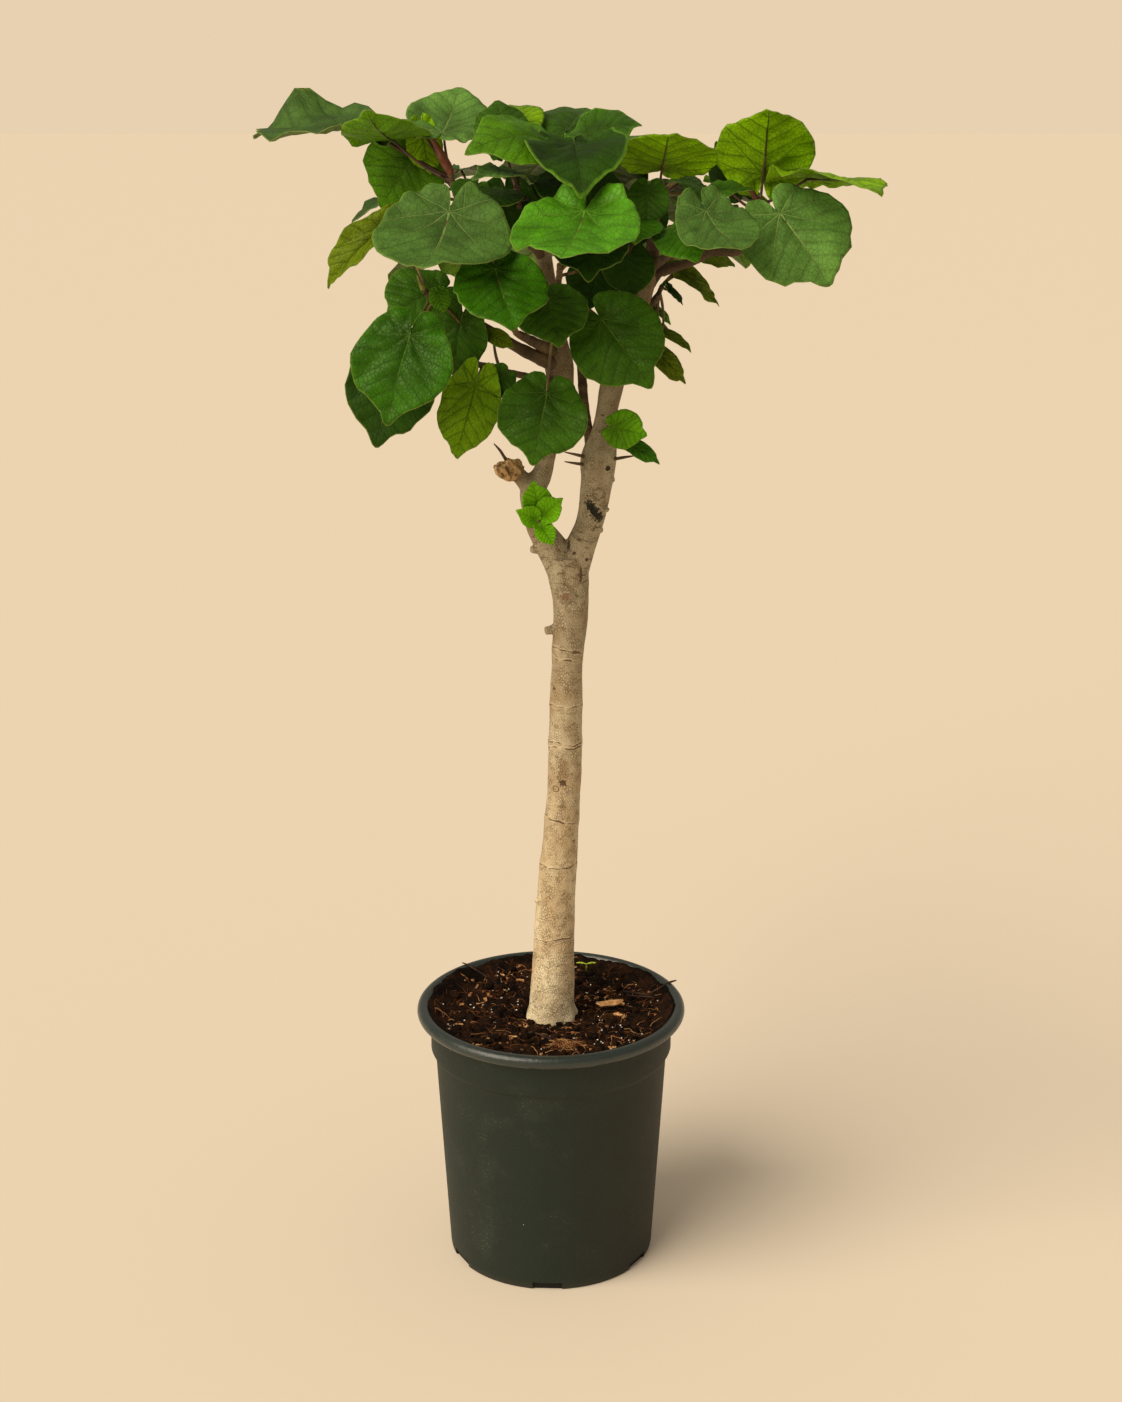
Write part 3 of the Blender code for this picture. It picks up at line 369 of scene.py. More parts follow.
@dataclass(frozen=True)
class LeafFinish(Finish):
    """One face of the leaf blades: the leaf's own colour, with veins, mottling, specks and painted light.

    Painted shade darkens the blade towards its hub and beside the veins, and a painted highlight lies along
    the margin.
    """

    tone: str = "tone_top"
    rib_share: float = 0.52
    branch_share: float = 0.14
    net_share: float = 0.22
    relief: float = 0.001
    tint: tuple = srgb(225, 255, 190)

    def material(self, effects: Effects) -> Material:
        """Build the material.

        Args:
            effects: The shared node groups.

        Returns:
            The finished material.
        """
        material, g, shader, place = self.start()
        shader.inputs["Specular Tint"].default_value = self.tint
        plan = g.add("UVMap", uv_map="leaf_plan").outputs[0]
        blade, vein = [g.add("Attribute", attribute_name=name).outputs["Color"]
                       for name in (self.tone, "tone_vein")]
        edge, gloss, rim = [g.add("Attribute", attribute_name=name).outputs["Fac"]
                            for name in ("reach", "gloss", "rim")]
        ribs = g.use(effects.veins, Plan=plan, Width=0.0085).outputs
        mottle = g.use(effects.grain, Position=place, Coarse=30.0, Fine=420.0).outputs
        patches = mottle["Patches"]
        # Mottling, and painted shade: each blade darker towards its hub and lighter towards its edge.
        mottle_and_painted_shade = g.times(g.fade(patches, 0.25, 0.75, 0.66, 1.26), g.fade(edge, 0.05, 0.95, 0.74, 1.14))
        ground = g.tint(g.lit(blade, mottle_and_painted_shade), srgb(22, 44, 4), ribs["Net"], self.net_share)
        # Painted shade along the sunken veins: the blade darker beside each vein than on its panels.
        ground = g.mix(g.fade(ribs["Swell"], 0.3, 0.02, 0.0, 0.2), ground, srgb(20, 42, 4))
        lines = g.larger(g.times(ribs["Ribs"], self.rib_share), g.times(ribs["Branches"], self.branch_share))
        ground = g.mix(lines, ground, vein)
        # A painted highlight: a pale line along the very edge of every leaf.
        ground = g.mix(g.fade(edge, 0.975, 1.0, 0.0, 0.5), ground, srgb(136, 160, 64))
        # A painted highlight along the edge, as strong as the leaf's rim value.
        margin = g.times(g.fade(edge, 0.93, 0.985), g.fade(patches, 0.3, 0.6, 0.45, 1.0))
        ground = g.mix(g.times(margin, rim), ground, srgb(92, 140, 30))
        dust = effects.speckle(g, place, 62.0, 0.05, 0.055)
        ground = g.tint(ground, srgb(220, 220, 180), dust, 0.8)
        rough = g.plus(gloss, g.fade(patches, 0.3, 0.7, -0.05, 0.08))
        grooves = g.plus(g.times(ribs["Ribs"], 0.7), g.times(ribs["Branches"], 0.5))
        height = g.minus(g.times(mottle["Height"], 0.3), grooves)
        height = g.minus(height, g.times(ribs["Net"], 0.3))
        height = g.plus(height, g.times(ribs["Swell"], 0.5))
        height = g.plus(height, g.times(g.noise(place, 110.0, 2.0), 0.35))
        self.close(g, shader, ground, rough, height, self.relief)
        return material


@dataclass(frozen=True)
class SkinFinish(Finish):
    """Leaf stalks, young stems and buds: two tones in soft streaks and fine specks."""

    light: tuple = srgb(120, 120, 50)
    dark: tuple = srgb(90, 60, 30)
    coarse: float = 60.0
    relief: float = 0.0004
    speck: float = 0.3

    def material(self, effects: Effects) -> Material:
        """Build the material.

        Args:
            effects: The shared node groups.

        Returns:
            The finished material.
        """
        material, g, shader, place = self.start()
        drawn = g.stretched(place, (1.0, 1.0, 0.5))
        grain = g.use(effects.grain, Position=drawn, Coarse=self.coarse, Fine=700.0).outputs
        colour = g.mix(g.fade(grain["Patches"], 0.35, 0.65), self.dark, self.light)
        specks = effects.speckle(g, place, 420.0, 0.3, 0.3)
        colour = g.tint(colour, srgb(60, 42, 26), specks, self.speck)
        rough = g.fade(grain["Height"], 0.3, 0.7, self.rough - 0.08, self.rough + 0.1)
        self.close(g, shader, colour, rough, grain["Height"], self.relief)
        return material


@dataclass(frozen=True)
class Mark:
    """A scar, knot, stain or painted shade on the bark."""

    centre: Triple
    size: Triple
    colour: tuple
    strength: float = 1.0
    depth: float = -0.6
    ring: bool = False
    rough: float = 0.9


@dataclass(frozen=True)
class BarkFinish(Finish):
    """Smooth bark: pale and browner patches, fine dark crackle, specks, ring scars and single marks, painted
    lighter low down and darker higher up.
    """

    pale: tuple = srgb(204, 191, 158)
    grey: tuple = srgb(178, 157, 122)
    brown: tuple = srgb(122, 96, 64)
    foot_light: float = 1.52
    head_light: float = 0.77
    brown_from: float = 0.8
    brown_to: float = 1.15
    brown_share: float = 0.75
    relief: float = 0.0014
    middle: float = 0.02
    rings: tuple = ()
    marks: tuple = ()

    def material(self, effects: Effects) -> Material:
        """Build the material.

        Args:
            effects: The shared node groups.

        Returns:
            The finished material.
        """
        material, g, shader, place = self.start()
        parts = g.add("SeparateXYZ", {0: place})
        sideways, level = parts.outputs[0], parts.outputs[2]
        drawn = g.stretched(place, (1.0, 1.0, 0.55))
        grain = g.use(effects.grain, Position=drawn, Coarse=34.0, Fine=520.0).outputs
        colour = g.mix(g.fade(grain["Patches"], 0.34, 0.66), self.grey, self.pale)
        stain = g.noise(g.stretched(place, (1.0, 1.0, 0.35)), 22.0, 3.0)
        rise = g.fade(level, self.brown_from, self.brown_to, 0.12, self.brown_share)
        colour = g.mix(g.times(g.fade(stain, 0.34, 0.6), rise), colour, self.brown)
        # Painted light: the lower trunk painted lighter and the upper trunk darker.
        foot = g.fade(level, 0.34, 0.74, self.foot_light, 1.0)
        head = g.fade(level, 0.68, 0.8, 1.0, self.head_light)
        colour = g.lit(colour, g.times(foot, head))
        crackle = g.cells(g.stretched(place, (1.0, 1.0, 0.7)), 420.0, "DISTANCE_TO_EDGE").outputs["Distance"]
        crackle = g.fade(crackle, 0.16, 0.02)
        patchy = g.fade(g.noise(place, 90.0, 2.0), 0.38, 0.62)
        colour = g.tint(colour, srgb(96, 72, 42), g.times(crackle, patchy), 0.65)
        fine = effects.speckle(g, place, 480.0, 0.34, 0.44)
        colour = g.tint(colour, srgb(92, 68, 40), fine, 0.62)
        pores = effects.speckle(g, place, 125.0, 0.16, 0.2)
        colour = g.tint(colour, srgb(84, 58, 36), pores, 0.8)
        eyes = effects.speckle(g, g.stretched(place, (0.8, 0.8, 1.2)), 46.0, 0.4, 0.15)
        eyes = g.times(eyes, g.fade(level, 0.72, 0.9, 0.35, 0.85))
        colour = g.mix(eyes, colour, srgb(92, 56, 36))
        height = g.minus(g.times(grain["Height"], 0.8), g.times(crackle, 0.3))
        height = g.minus(height, g.times(g.larger(pores, eyes), 0.6))
        # Crease lines near the fork: sunk by the bump, and darkened with painted shade in the creases.
        bands = g.math("SINE", g.plus(g.times(level, 620.0), g.times(g.noise(place, 26.0), 26.0)))
        near_fork = g.times(g.fade(level, 0.79, 0.85, 0.25, 1.0), g.fade(level, 0.95, 0.91, 0.25, 1.0))
        shaded_creases = g.times(g.times(g.fade(bands, 0.72, 1.0), near_fork), patchy)
        colour = g.tint(colour, srgb(104, 76, 44), shaded_creases, 0.5)
        height = g.minus(height, g.times(shaded_creases, 0.7))
        wander = g.wander(place, 60.0, 2.0, 0.012)
        for ring_level, slope in self.rings:
            tilted = g.minus(g.plus(level, wander), g.times(g.minus(sideways, self.middle), slope))
            away = g.away(tilted, ring_level)
            line = g.times(g.fade(away, 0.0012, 0.0003), patchy)
            ridge = g.fade(g.away(away, 0.0018), 0.0016, 0.0004)
            colour = g.tint(colour, srgb(226, 204, 166), ridge, 0.35)
            colour = g.tint(colour, srgb(88, 64, 36), line, 0.8)
            height = g.plus(height, g.fade(away, 0.004, 0.001, 0.0, 0.45))
            height = g.minus(height, line)
        for mark in self.marks:
            spot = g.use(effects.spot, Position=place, Centre=mark.centre, Size=mark.size,
                         Rough=mark.rough).outputs
            mask = spot["Ring" if mark.ring else "Mask"]
            colour = g.tint(colour, mark.colour, mask, mark.strength)
            height = g.plus(height, g.times(mask, mark.depth))
        rough = g.fade(grain["Height"], 0.3, 0.7, self.rough - 0.1, self.rough + 0.08)
        self.close(g, shader, colour, rough, height, self.relief)
        return material


@dataclass(frozen=True)
class PlasticFinish(Finish):
    """Moulded pot plastic: dark body, bluer rim, a pale line under the lip, dust and scratches, with painted
    light.

    The right side is painted browner as shade, the pale line is partly wear and partly a painted highlight,
    the dust haze is painted stronger on the lit left side, and the foot notches hold a painted shadow.
    """

    body: tuple = srgb(25, 37, 29)
    shaded_side: tuple = srgb(33, 34, 24)
    rim: tuple = srgb(29, 42, 38)
    rim_level: float = 0.2995
    rim_specular: float = 0.7
    rim_polish: float = 0.3
    lip_level: float = 0.303
    lip_radius: float = 0.1565
    niche_radius: float = 0.1209
    niche_level: float = 0.0098
    relief: float = 0.0006

    def material(self, effects: Effects) -> Material:
        """Build the material.

        Args:
            effects: The shared node groups.

        Returns:
            The finished material.
        """
        material, g, shader, place = self.start()
        parts = g.add("SeparateXYZ", {0: place})
        sideways, level = parts.outputs[0], parts.outputs[2]
        radius = g.vector("LENGTH", g.stretched(place, (1.0, 1.0, 0.0)))
        grain = g.use(effects.grain, Position=place, Coarse=14.0, Fine=900.0).outputs
        # Painted shade: the right side, away from the light, painted browner in patches.
        shaded_side = g.times(g.fade(sideways, -0.02, 0.13), g.fade(grain["Patches"], 0.2, 0.7, 0.5, 1.0))
        colour = g.mix(shaded_side, self.body, self.shaded_side)
        colour = g.mix(g.fade(level, self.rim_level, self.rim_level + 0.002), colour, self.rim)
        # A pale dust haze, painted stronger on the lit left side; the dust specks and scratches follow it.
        haze_and_lit_side = g.fade(g.noise(place, 17.0, 4.0, 0.6), 0.5, 0.74)
        haze_and_lit_side = g.times(haze_and_lit_side, g.fade(sideways, 0.06, -0.05, 0.3, 1.0))
        colour = g.tint(colour, srgb(120, 124, 104), haze_and_lit_side, 0.07)
        dust = effects.speckle(g, place, 340.0, 0.34, 0.3)
        dust = g.times(dust, g.plus(haze_and_lit_side, 0.16))
        colour = g.tint(colour, srgb(140, 146, 128), dust, 0.46)
        nick = effects.speckle(g, place, 60.0, 0.1, 0.07)
        colour = g.tint(colour, srgb(205, 210, 200), nick, 0.7)
        scratch = g.noise(g.stretched(place, (60.0, 60.0, 900.0)), 1.0, 2.0, 0.6)
        scratch = g.times(g.fade(scratch, 0.66, 0.72), haze_and_lit_side)
        colour = g.tint(colour, srgb(150, 160, 150), scratch, 0.35)
        # A pale line under the lip: partly wear and partly a painted highlight, stronger on the lit left
        # side.
        near_lip = g.away(level, self.lip_level)
        outside = g.fade(radius, self.lip_radius - 0.002, self.lip_radius)
        wear_and_highlight = g.times(g.fade(near_lip, 0.0013, 0.0003), outside)
        wear_and_highlight = g.times(wear_and_highlight, g.fade(g.noise(place, 40.0, 4.0), 0.3, 0.58, 0.15, 1.0))
        wear_and_highlight = g.times(wear_and_highlight, g.fade(sideways, 0.12, -0.1, 0.4, 1.0))
        colour = g.tint(colour, srgb(184, 186, 172), wear_and_highlight, 0.85)
        soiled = g.times(g.fade(level, 0.012, 0.0), 0.15)
        colour = g.mix(soiled, colour, srgb(92, 82, 66))
        # Painted shadow: the inside of the foot notches painted near black.
        notch_shadow = g.times(g.fade(radius, self.niche_radius + 0.0003, self.niche_radius - 0.0003),
                        g.fade(level, self.niche_level + 0.0004, self.niche_level - 0.0004))
        colour = g.mix(notch_shadow, colour, srgb(6, 6, 4))
        rim_end = self.rim_level + 0.003
        rough = g.fade(level, self.rim_level, rim_end, self.rough, self.rough - self.rim_polish)
        rough = g.plus(rough, g.times(g.plus(haze_and_lit_side, dust), 0.12))
        rough = g.plus(rough, g.fade(grain["Height"], 0.3, 0.7, -0.03, 0.05))
        gloss = g.fade(level, self.rim_level, rim_end, self.specular, self.rim_specular)
        g.feed(shader.inputs["Specular IOR Level"], gloss)
        height = g.plus(g.times(grain["Height"], 0.6), g.times(g.noise(place, 260.0), 0.8))
        height = g.minus(height, g.times(scratch, 0.6))
        self.close(g, shader, colour, rough, g.minus(height, g.times(nick, 0.8)), self.relief)
        return material


@dataclass(frozen=True)
class EarthFinish(Finish):
    """Potting soil: near-black peat, brown clods and reddish coir in grains, with painted shade in small
    pits.
    """

    peat: tuple = srgb(16, 9, 5)
    clod: tuple = srgb(46, 28, 15)
    coir: tuple = srgb(104, 66, 36)
    relief: float = 0.003

    def material(self, effects: Effects) -> Material:
        """Build the material.

        Args:
            effects: The shared node groups.

        Returns:
            The finished material.
        """
        material, g, shader, place = self.start()
        grain = g.use(effects.grain, Position=place, Coarse=46.0, Fine=620.0).outputs
        colour = g.mix(g.fade(grain["Patches"], 0.4, 0.66), self.peat, self.clod)
        strands = g.noise(g.stretched(place, (420.0, 120.0, 300.0)), 1.0, 3.0, 0.7)
        strands = g.larger(strands, g.noise(g.stretched(place, (110.0, 430.0, 300.0)), 1.0, 3.0, 0.7))
        colour = g.tint(colour, self.coir, g.fade(strands, 0.6, 0.76), 0.6)
        chips = effects.speckle(g, place, 260.0, 0.1, 0.3)
        colour = g.tint(colour, srgb(140, 94, 54), chips, 0.7)
        # Dark pits: sunk by the bump and darkened with painted shade in the hollows.
        shaded_pits = effects.speckle(g, place, 330.0, 0.4, 0.5)
        colour = g.tint(colour, srgb(16, 10, 8), shaded_pits, 0.7)
        height = g.minus(g.plus(g.times(strands, 0.8), grain["Height"]), g.times(shaded_pits, 0.6))
        self.close(g, shader, colour, g.fade(grain["Height"], 0.3, 0.7, 0.75, 1.0), height, self.relief)
        return material


@dataclass(frozen=True)
class Tone:
    """The colours of one leaf: upper face, underside, veins, and the roughness of its upper face."""

    top: tuple
    under: tuple
    vein: tuple
    gloss: float


class LeafTone(Enum):
    """The kinds of leaf on the plant, by age and by how the light meets them."""

    DEEP = Tone(srgb(54, 94, 12), srgb(84, 112, 20), srgb(98, 132, 44), 0.42)
    GREY = Tone(srgb(76, 112, 46), srgb(98, 124, 40), srgb(140, 164, 92), 0.5)
    FRESH = Tone(srgb(76, 138, 22), srgb(96, 140, 26), srgb(118, 164, 52), 0.32)
    GLOSSY = Tone(srgb(50, 100, 6), srgb(84, 124, 20), srgb(96, 138, 40), 0.34)
    BRIGHT = Tone(srgb(76, 126, 6), srgb(84, 130, 8), srgb(96, 142, 24), 0.48)
    BACKLIT = Tone(srgb(118, 164, 2), srgb(118, 164, 2), srgb(70, 104, 2), 0.48)
    OLIVE = Tone(srgb(96, 116, 4), srgb(100, 120, 6), srgb(66, 84, 4), 0.46)
    YOUNG = Tone(srgb(96, 156, 6), srgb(106, 160, 16), srgb(140, 186, 50), 0.34)
    SHADE = Tone(srgb(34, 66, 4), srgb(66, 90, 12), srgb(56, 88, 16), 0.6)


@dataclass(frozen=True)
class Leaf:
    """One heart-shaped leaf, placed by its hub, where stalk and veins meet, and by its tip.

    faces is the way the upper face looks, at is where the stalk leaves the stem (0 base, 1 end), width is
    across over hub-to-tip length, arch, cup, wave and fold shape the blade, curl lifts its right side
    towards the tip, and bend moves the middle of the stalk. hidden marks a leaf at the back, whose solid is
    plain. drip is the length of the drip tip, sway is how uneven the blade lies, quilt is how high its
    panels stand between the veins, pleat is how far it bulges between its main ribs, rim is the share of
    painted highlight along its edge, and light is painted light or shade that makes its colours lighter or
    darker.
    """

    hub: Triple
    tip: Triple
    faces: Triple
    tone: LeafTone
    width: float = 1.15
    arch: float = 0.06
    cup: float = 0.0
    wave: float = 0.03
    fold: float = 0.0
    curl: float = 0.0
    at: float = 1.0
    bend: Triple = (0.0, 0.0, 0.0)
    hidden: bool = False
    drip: float = 0.14
    sway: float = 0.07
    quilt: float = 0.008
    pleat: float = 0.03
    rim: float = 0.0
    # Painted light or shade: a factor on all of the leaf's colours.
    light: float = 1.0

    SMALL: ClassVar[float] = 0.056

    def length(self) -> float:
        """The distance from hub to tip."""
        return (Vector(self.tip) - Vector(self.hub)).length

    def plain(self) -> bool:
        """Whether the solid's blade is a single ring of faces."""
        return self.hidden or self.length() <= self.SMALL

    def axes(self) -> tuple[Vector, Vector, Vector]:
        """The directions to the tip, to the side and up."""
        along = (Vector(self.tip) - Vector(self.hub)).normalized()
        up = Vector(self.faces)
        up = (up - along * up.dot(along)).normalized()
        return along, up.cross(along), up

    def shaded(self, colour: tuple) -> tuple:
        """A colour of its tone in the leaf's own light."""
        return (*(self.light * part for part in colour[:3]), 1.0)

    def seed(self) -> float:
        """A number of the leaf's own, from its place."""
        return 91.0 * self.hub[0] + 53.0 * self.hub[1] + 37.0 * self.hub[2]

    def outline(self, angle: float) -> float:
        """Hub-to-edge distance of a leaf of length 1, by the angle from its tip, with an uneven edge."""
        body = 0.34 * math.cos(angle) + math.sqrt(0.52 ** 2 - (0.34 * math.sin(angle)) ** 2)
        drip = self.drip * hump(angle, math.radians(7))
        lobe = 0.14 * hump(abs(angle) - math.radians(145), math.radians(46))
        notch = 1 - 0.82 * hump(math.pi - abs(angle), math.radians(8))
        way = Vector((math.cos(angle), math.sin(angle), self.seed()))
        uneven = 0.05 * noise.noise(1.8 * way) + 0.045 * noise.noise(6.0 * way)
        uneven += 0.03 * noise.noise(15.0 * way)
        return (body + drip + lobe) * notch * (1.0 + uneven)

    def relief(self, forward: float, across: float, out: float) -> float:
        """The fine relief at a place on the flat leaf: sunken veins, raised panels, soft dents."""
        side = abs(across)
        risen = forward - 0.45 * side * side
        height = groove = bulge = 0.0
        for index, (here, after) in enumerate(zip(VEINS, VEINS[1:])):
            off = side * math.cos(here) - risen * math.sin(here)
            along = side * math.sin(here) + risen * math.cos(here)
            beyond = side * math.cos(after) - risen * math.sin(after)
            if along > 0.0:
                depth = min(1.0, 9.0 * along) * (1.0 - 0.6 * min(1.0, along))
                groove = max(groove, depth * hump(off, 0.035))
            if off > 0.0 > beyond:
                phase = (along - 0.62 * off) * (5.6 - 0.5 * index)
                height = -math.cos(2 * math.pi * (phase - 0.5)) * min(1.0, 3.0 * off)
                bulge = 4.0 * off * beyond / (beyond - off)
        height = self.quilt * (height * min(1.0, 3.0 * out) - 1.6 * groove) + self.pleat * bulge
        place = Vector((2.1 * forward, 2.1 * across, self.seed()))
        height += self.sway * out * noise.noise(place)
        height += 0.5 * self.sway * out * noise.noise(2.7 * place)
        return height + 0.12 * self.sway * noise.noise(8.0 * place)

    def plan(self, angle: float, out: float) -> tuple[float, float]:
        """The place on the flat leaf, forward and across, in leaf lengths."""
        reach = self.outline(angle) * out
        return reach * math.cos(angle), reach * math.sin(angle)

    def point(self, angle: float, out: float, detail: float = 0.0) -> Vector:
        """A point of the blade's middle surface.

        Args:
            angle: The angle from the tip, in radians.
            out: 0 at the hub to 1 at the edge.
            detail: The share of the fine relief and of the margin's small waves.

        Returns:
            The point.
        """
        along, side, up = self.axes()
        forward, across = self.plan(angle, out)
        relief = self.relief(forward, across, out) if detail else 0.0
        across *= self.width
        phase = 40.0 * (self.hub[0] + self.hub[1])
        relief += 0.017 * out ** 4 * math.sin(12 * angle + 1.7 * phase) * min(1.0, 2 * abs(angle))
        lift = 4 * self.arch * forward * (1 - forward)
        lift += self.cup * across * across + self.fold * abs(across)
        lift += self.curl * max(0.0, -across) * hump(forward - 0.73, 0.15)
        lift += self.wave * out * out * math.sin(5 * angle + phase) * min(1.0, abs(angle))
        lift += detail * relief
        return Vector(self.hub) + self.length() * (along * forward + side * across + up * lift)


@dataclass
class Sweep:
    """A round solid along a route of places and radii, drawn out ring by ring from one capped circle."""

    route: Route
    sides: int = 10

    def frames(self) -> list[Matrix]:
        """The place, turn and size of each ring, turned as little as possible along the route."""
        spots = [Vector(p[:3]) for p in self.route]
        made = []
        turn = way = None
        for index, spot in enumerate(spots):
            ahead = (spots[min(index + 1, len(spots) - 1)] - spots[max(index - 1, 0)]).normalized()
            turn = ahead.to_track_quat("Z", "Y") if way is None else way.rotation_difference(ahead) @ turn
            way = ahead
            made.append(Matrix.LocRotScale(spot, turn, Vector((self.route[index][3],) * 3)))
        return made

    def add_to(self, work: BMesh, slot: int = 0) -> list[bmesh.types.BMVert]:
        """Build the solid in a mesh.

        Args:
            work: The mesh to build in.
            slot: The material slot of its faces.

        Returns:
            The solid's vertices.
        """
        frames = self.frames()
        made = list(bmesh.ops.create_circle(work, cap_ends=True, segments=self.sides, radius=1.0,
                                            matrix=frames[0])["verts"])
        cap = made[0].link_faces[0]
        cap.material_index = slot
        for index, (before, after) in enumerate(zip(frames, frames[1:])):
            grown = bmesh.ops.extrude_face_region(work, geom=[cap], use_keep_orig=index == 0)["geom"]
            ring = [part for part in grown if isinstance(part, bmesh.types.BMVert)]
            cap = next(part for part in grown if isinstance(part, bmesh.types.BMFace))
            bmesh.ops.transform(work, matrix=after @ before.inverted(), verts=ring)
            made += ring
        faces = {face for vertex in made for face in vertex.link_faces}
        bmesh.ops.recalc_face_normals(work, faces=list(faces))
        for face in faces:
            face.material_index = slot
            face.smooth = len(face.verts) <= 4
        return made


def smooth_route(points: Iterable, per_span: int) -> list[tuple[float, ...]]:
    """Points along a smooth curve through given points.

    Args:
        points: The chosen points, of any dimension.
        per_span: How many steps there are between two of them.

    Returns:
        The finer route.
    """
    points = [tuple(p) for p in points]
    route = []
    for i in range(len(points) - 1):
        p0, p1, p2, p3 = points[max(i - 1, 0)], points[i], points[i + 1], points[min(i + 2, len(points) - 1)]
        for k in range(per_span):
            t = k / per_span
            route.append(tuple(
                0.5 * (2 * b + (c - a) * t + (2 * a - 5 * b + 4 * c - d) * t * t
                       + (3 * b - a - 3 * c + d) * t ** 3)
                for a, b, c, d in zip(p0, p1, p2, p3)))
    route.append(points[-1])
    return route


def smoothed(faces: Iterable[bmesh.types.BMFace]) -> None:
    """Shade faces smooth."""
    for face in faces:
        face.smooth = True


def turned(work: BMesh, section: list[tuple[float, float]], steps: int) -> None:
    """Turn a section round the upright axis into a closed skin.

    Args:
        work: The empty mesh to build in.
        section: Radius and height of each point, from axis to axis.
        steps: How many steps the full turn has.
    """
    line = [work.verts.new((radius, 0.0, height)) for radius, height in section]
    edges = [work.edges.new(pair) for pair in zip(line, line[1:])]
    bmesh.ops.spin(work, geom=line + edges, axis=Z_AXIS, cent=ORIGIN, angle=2 * math.pi, steps=steps,
                   use_merge=True)
    bmesh.ops.remove_doubles(work, verts=work.verts, dist=MERGE_REACH)


def poured(name: str, work: BMesh) -> bpy.types.Mesh:
    """A new mesh from a worked one, which is freed."""
    mesh = bpy.data.meshes.new(name)
    work.to_mesh(mesh)
    work.free()
    return mesh


def placed(name: str, data: bpy.types.ID) -> Piece:
    """A new object with its data, linked into the scene."""
    made = bpy.data.objects.new(name, data)
    bpy.context.scene.collection.objects.link(made)
    return made


def finished(name: str, work: BMesh, materials: Iterable[Material], node: str) -> Piece:
    """Turn a worked mesh into a piece that stands for a solid.

    Args:
        name: The piece's name.
        work: The worked mesh, which is freed.
        materials: The materials of its slots.
        node: The solid that the piece stands for.

    Returns:
        The new piece, riding on the body.
    """
    mesh = poured(name, work)
    for material in materials:
        mesh.materials.append(material)
    piece = placed(name, mesh)
    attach(piece, BODY)
    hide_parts(node)
    LOG.info("%s: %d faces, stands for %s", name, len(mesh.polygons), node)
    return piece


def settled(piece: Piece) -> None:
    """Apply a piece's modifiers to its mesh."""
    graph = bpy.context.evaluated_depsgraph_get()
    mesh = bpy.data.meshes.new_from_object(piece.evaluated_get(graph), depsgraph=graph)
    piece.modifiers.clear()
    piece.data = mesh


# Woody routes: each point is x, y, z and radius, from the root end out.
TRUNK = [
    (0.0, 0.0, 0.2, 0.0285), (0.0, 0.0, 0.24, 0.0285), (0.0, 0.0, 0.292, 0.0285),
    (0.001, 0.0, 0.312, 0.0272), (0.003, 0.001, 0.37, 0.0248), (0.006, 0.002, 0.45, 0.0228),
    (0.011, 0.002, 0.515, 0.0212), (0.015, 0.001, 0.58, 0.0197), (0.017, 0.0, 0.635, 0.0194),
    (0.018, -0.001, 0.695, 0.0188), (0.019, 0.0, 0.742, 0.0177), (0.023, 0.001, 0.79, 0.0198),
    (0.023, 0.001, 0.815, 0.0208), (0.02, 0.0, 0.842, 0.0232), (0.018, 0.0, 0.862, 0.0215),
]
RIGHT_LIMB = [
    (0.022, 0.0, 0.835, 0.019), (0.032, 0.0, 0.868, 0.0175), (0.044, 0.0, 0.9, 0.0156),
    (0.052, 0.001, 0.945, 0.0176), (0.054, 0.001, 0.972, 0.02), (0.059, 0.003, 0.997, 0.0155),
    (0.062, 0.005, 1.02, 0.0118), (0.07, 0.009, 1.058, 0.0132), (0.083, 0.014, 1.104, 0.0115),
    (0.099, 0.014, 1.14, 0.0098), (0.107, 0.012, 1.172, 0.01), (0.111, 0.01, 1.192, 0.0092),
]
LEFT_LIMB = [
    (0.018, 0.0, 0.838, 0.019), (0.004, -0.001, 0.868, 0.018), (-0.012, -0.004, 0.895, 0.0145),
    (-0.019, -0.005, 0.922, 0.014), (-0.018, -0.004, 0.942, 0.015), (-0.008, -0.001, 0.96, 0.0112),
    (0.002, 0.002, 1.006, 0.0105), (0.011, 0.003, 1.045, 0.014), (0.01, 0.004, 1.075, 0.016),
    (0.005, 0.006, 1.105, 0.0135), (-0.001, 0.011, 1.15, 0.0105), (-0.008, 0.015, 1.205, 0.0078),
]
GALL_STALK = [(-0.019, -0.005, 0.936, 0.012), (-0.031, -0.008, 0.952, 0.0095), (-0.042, -0.01, 0.962, 0.009)]
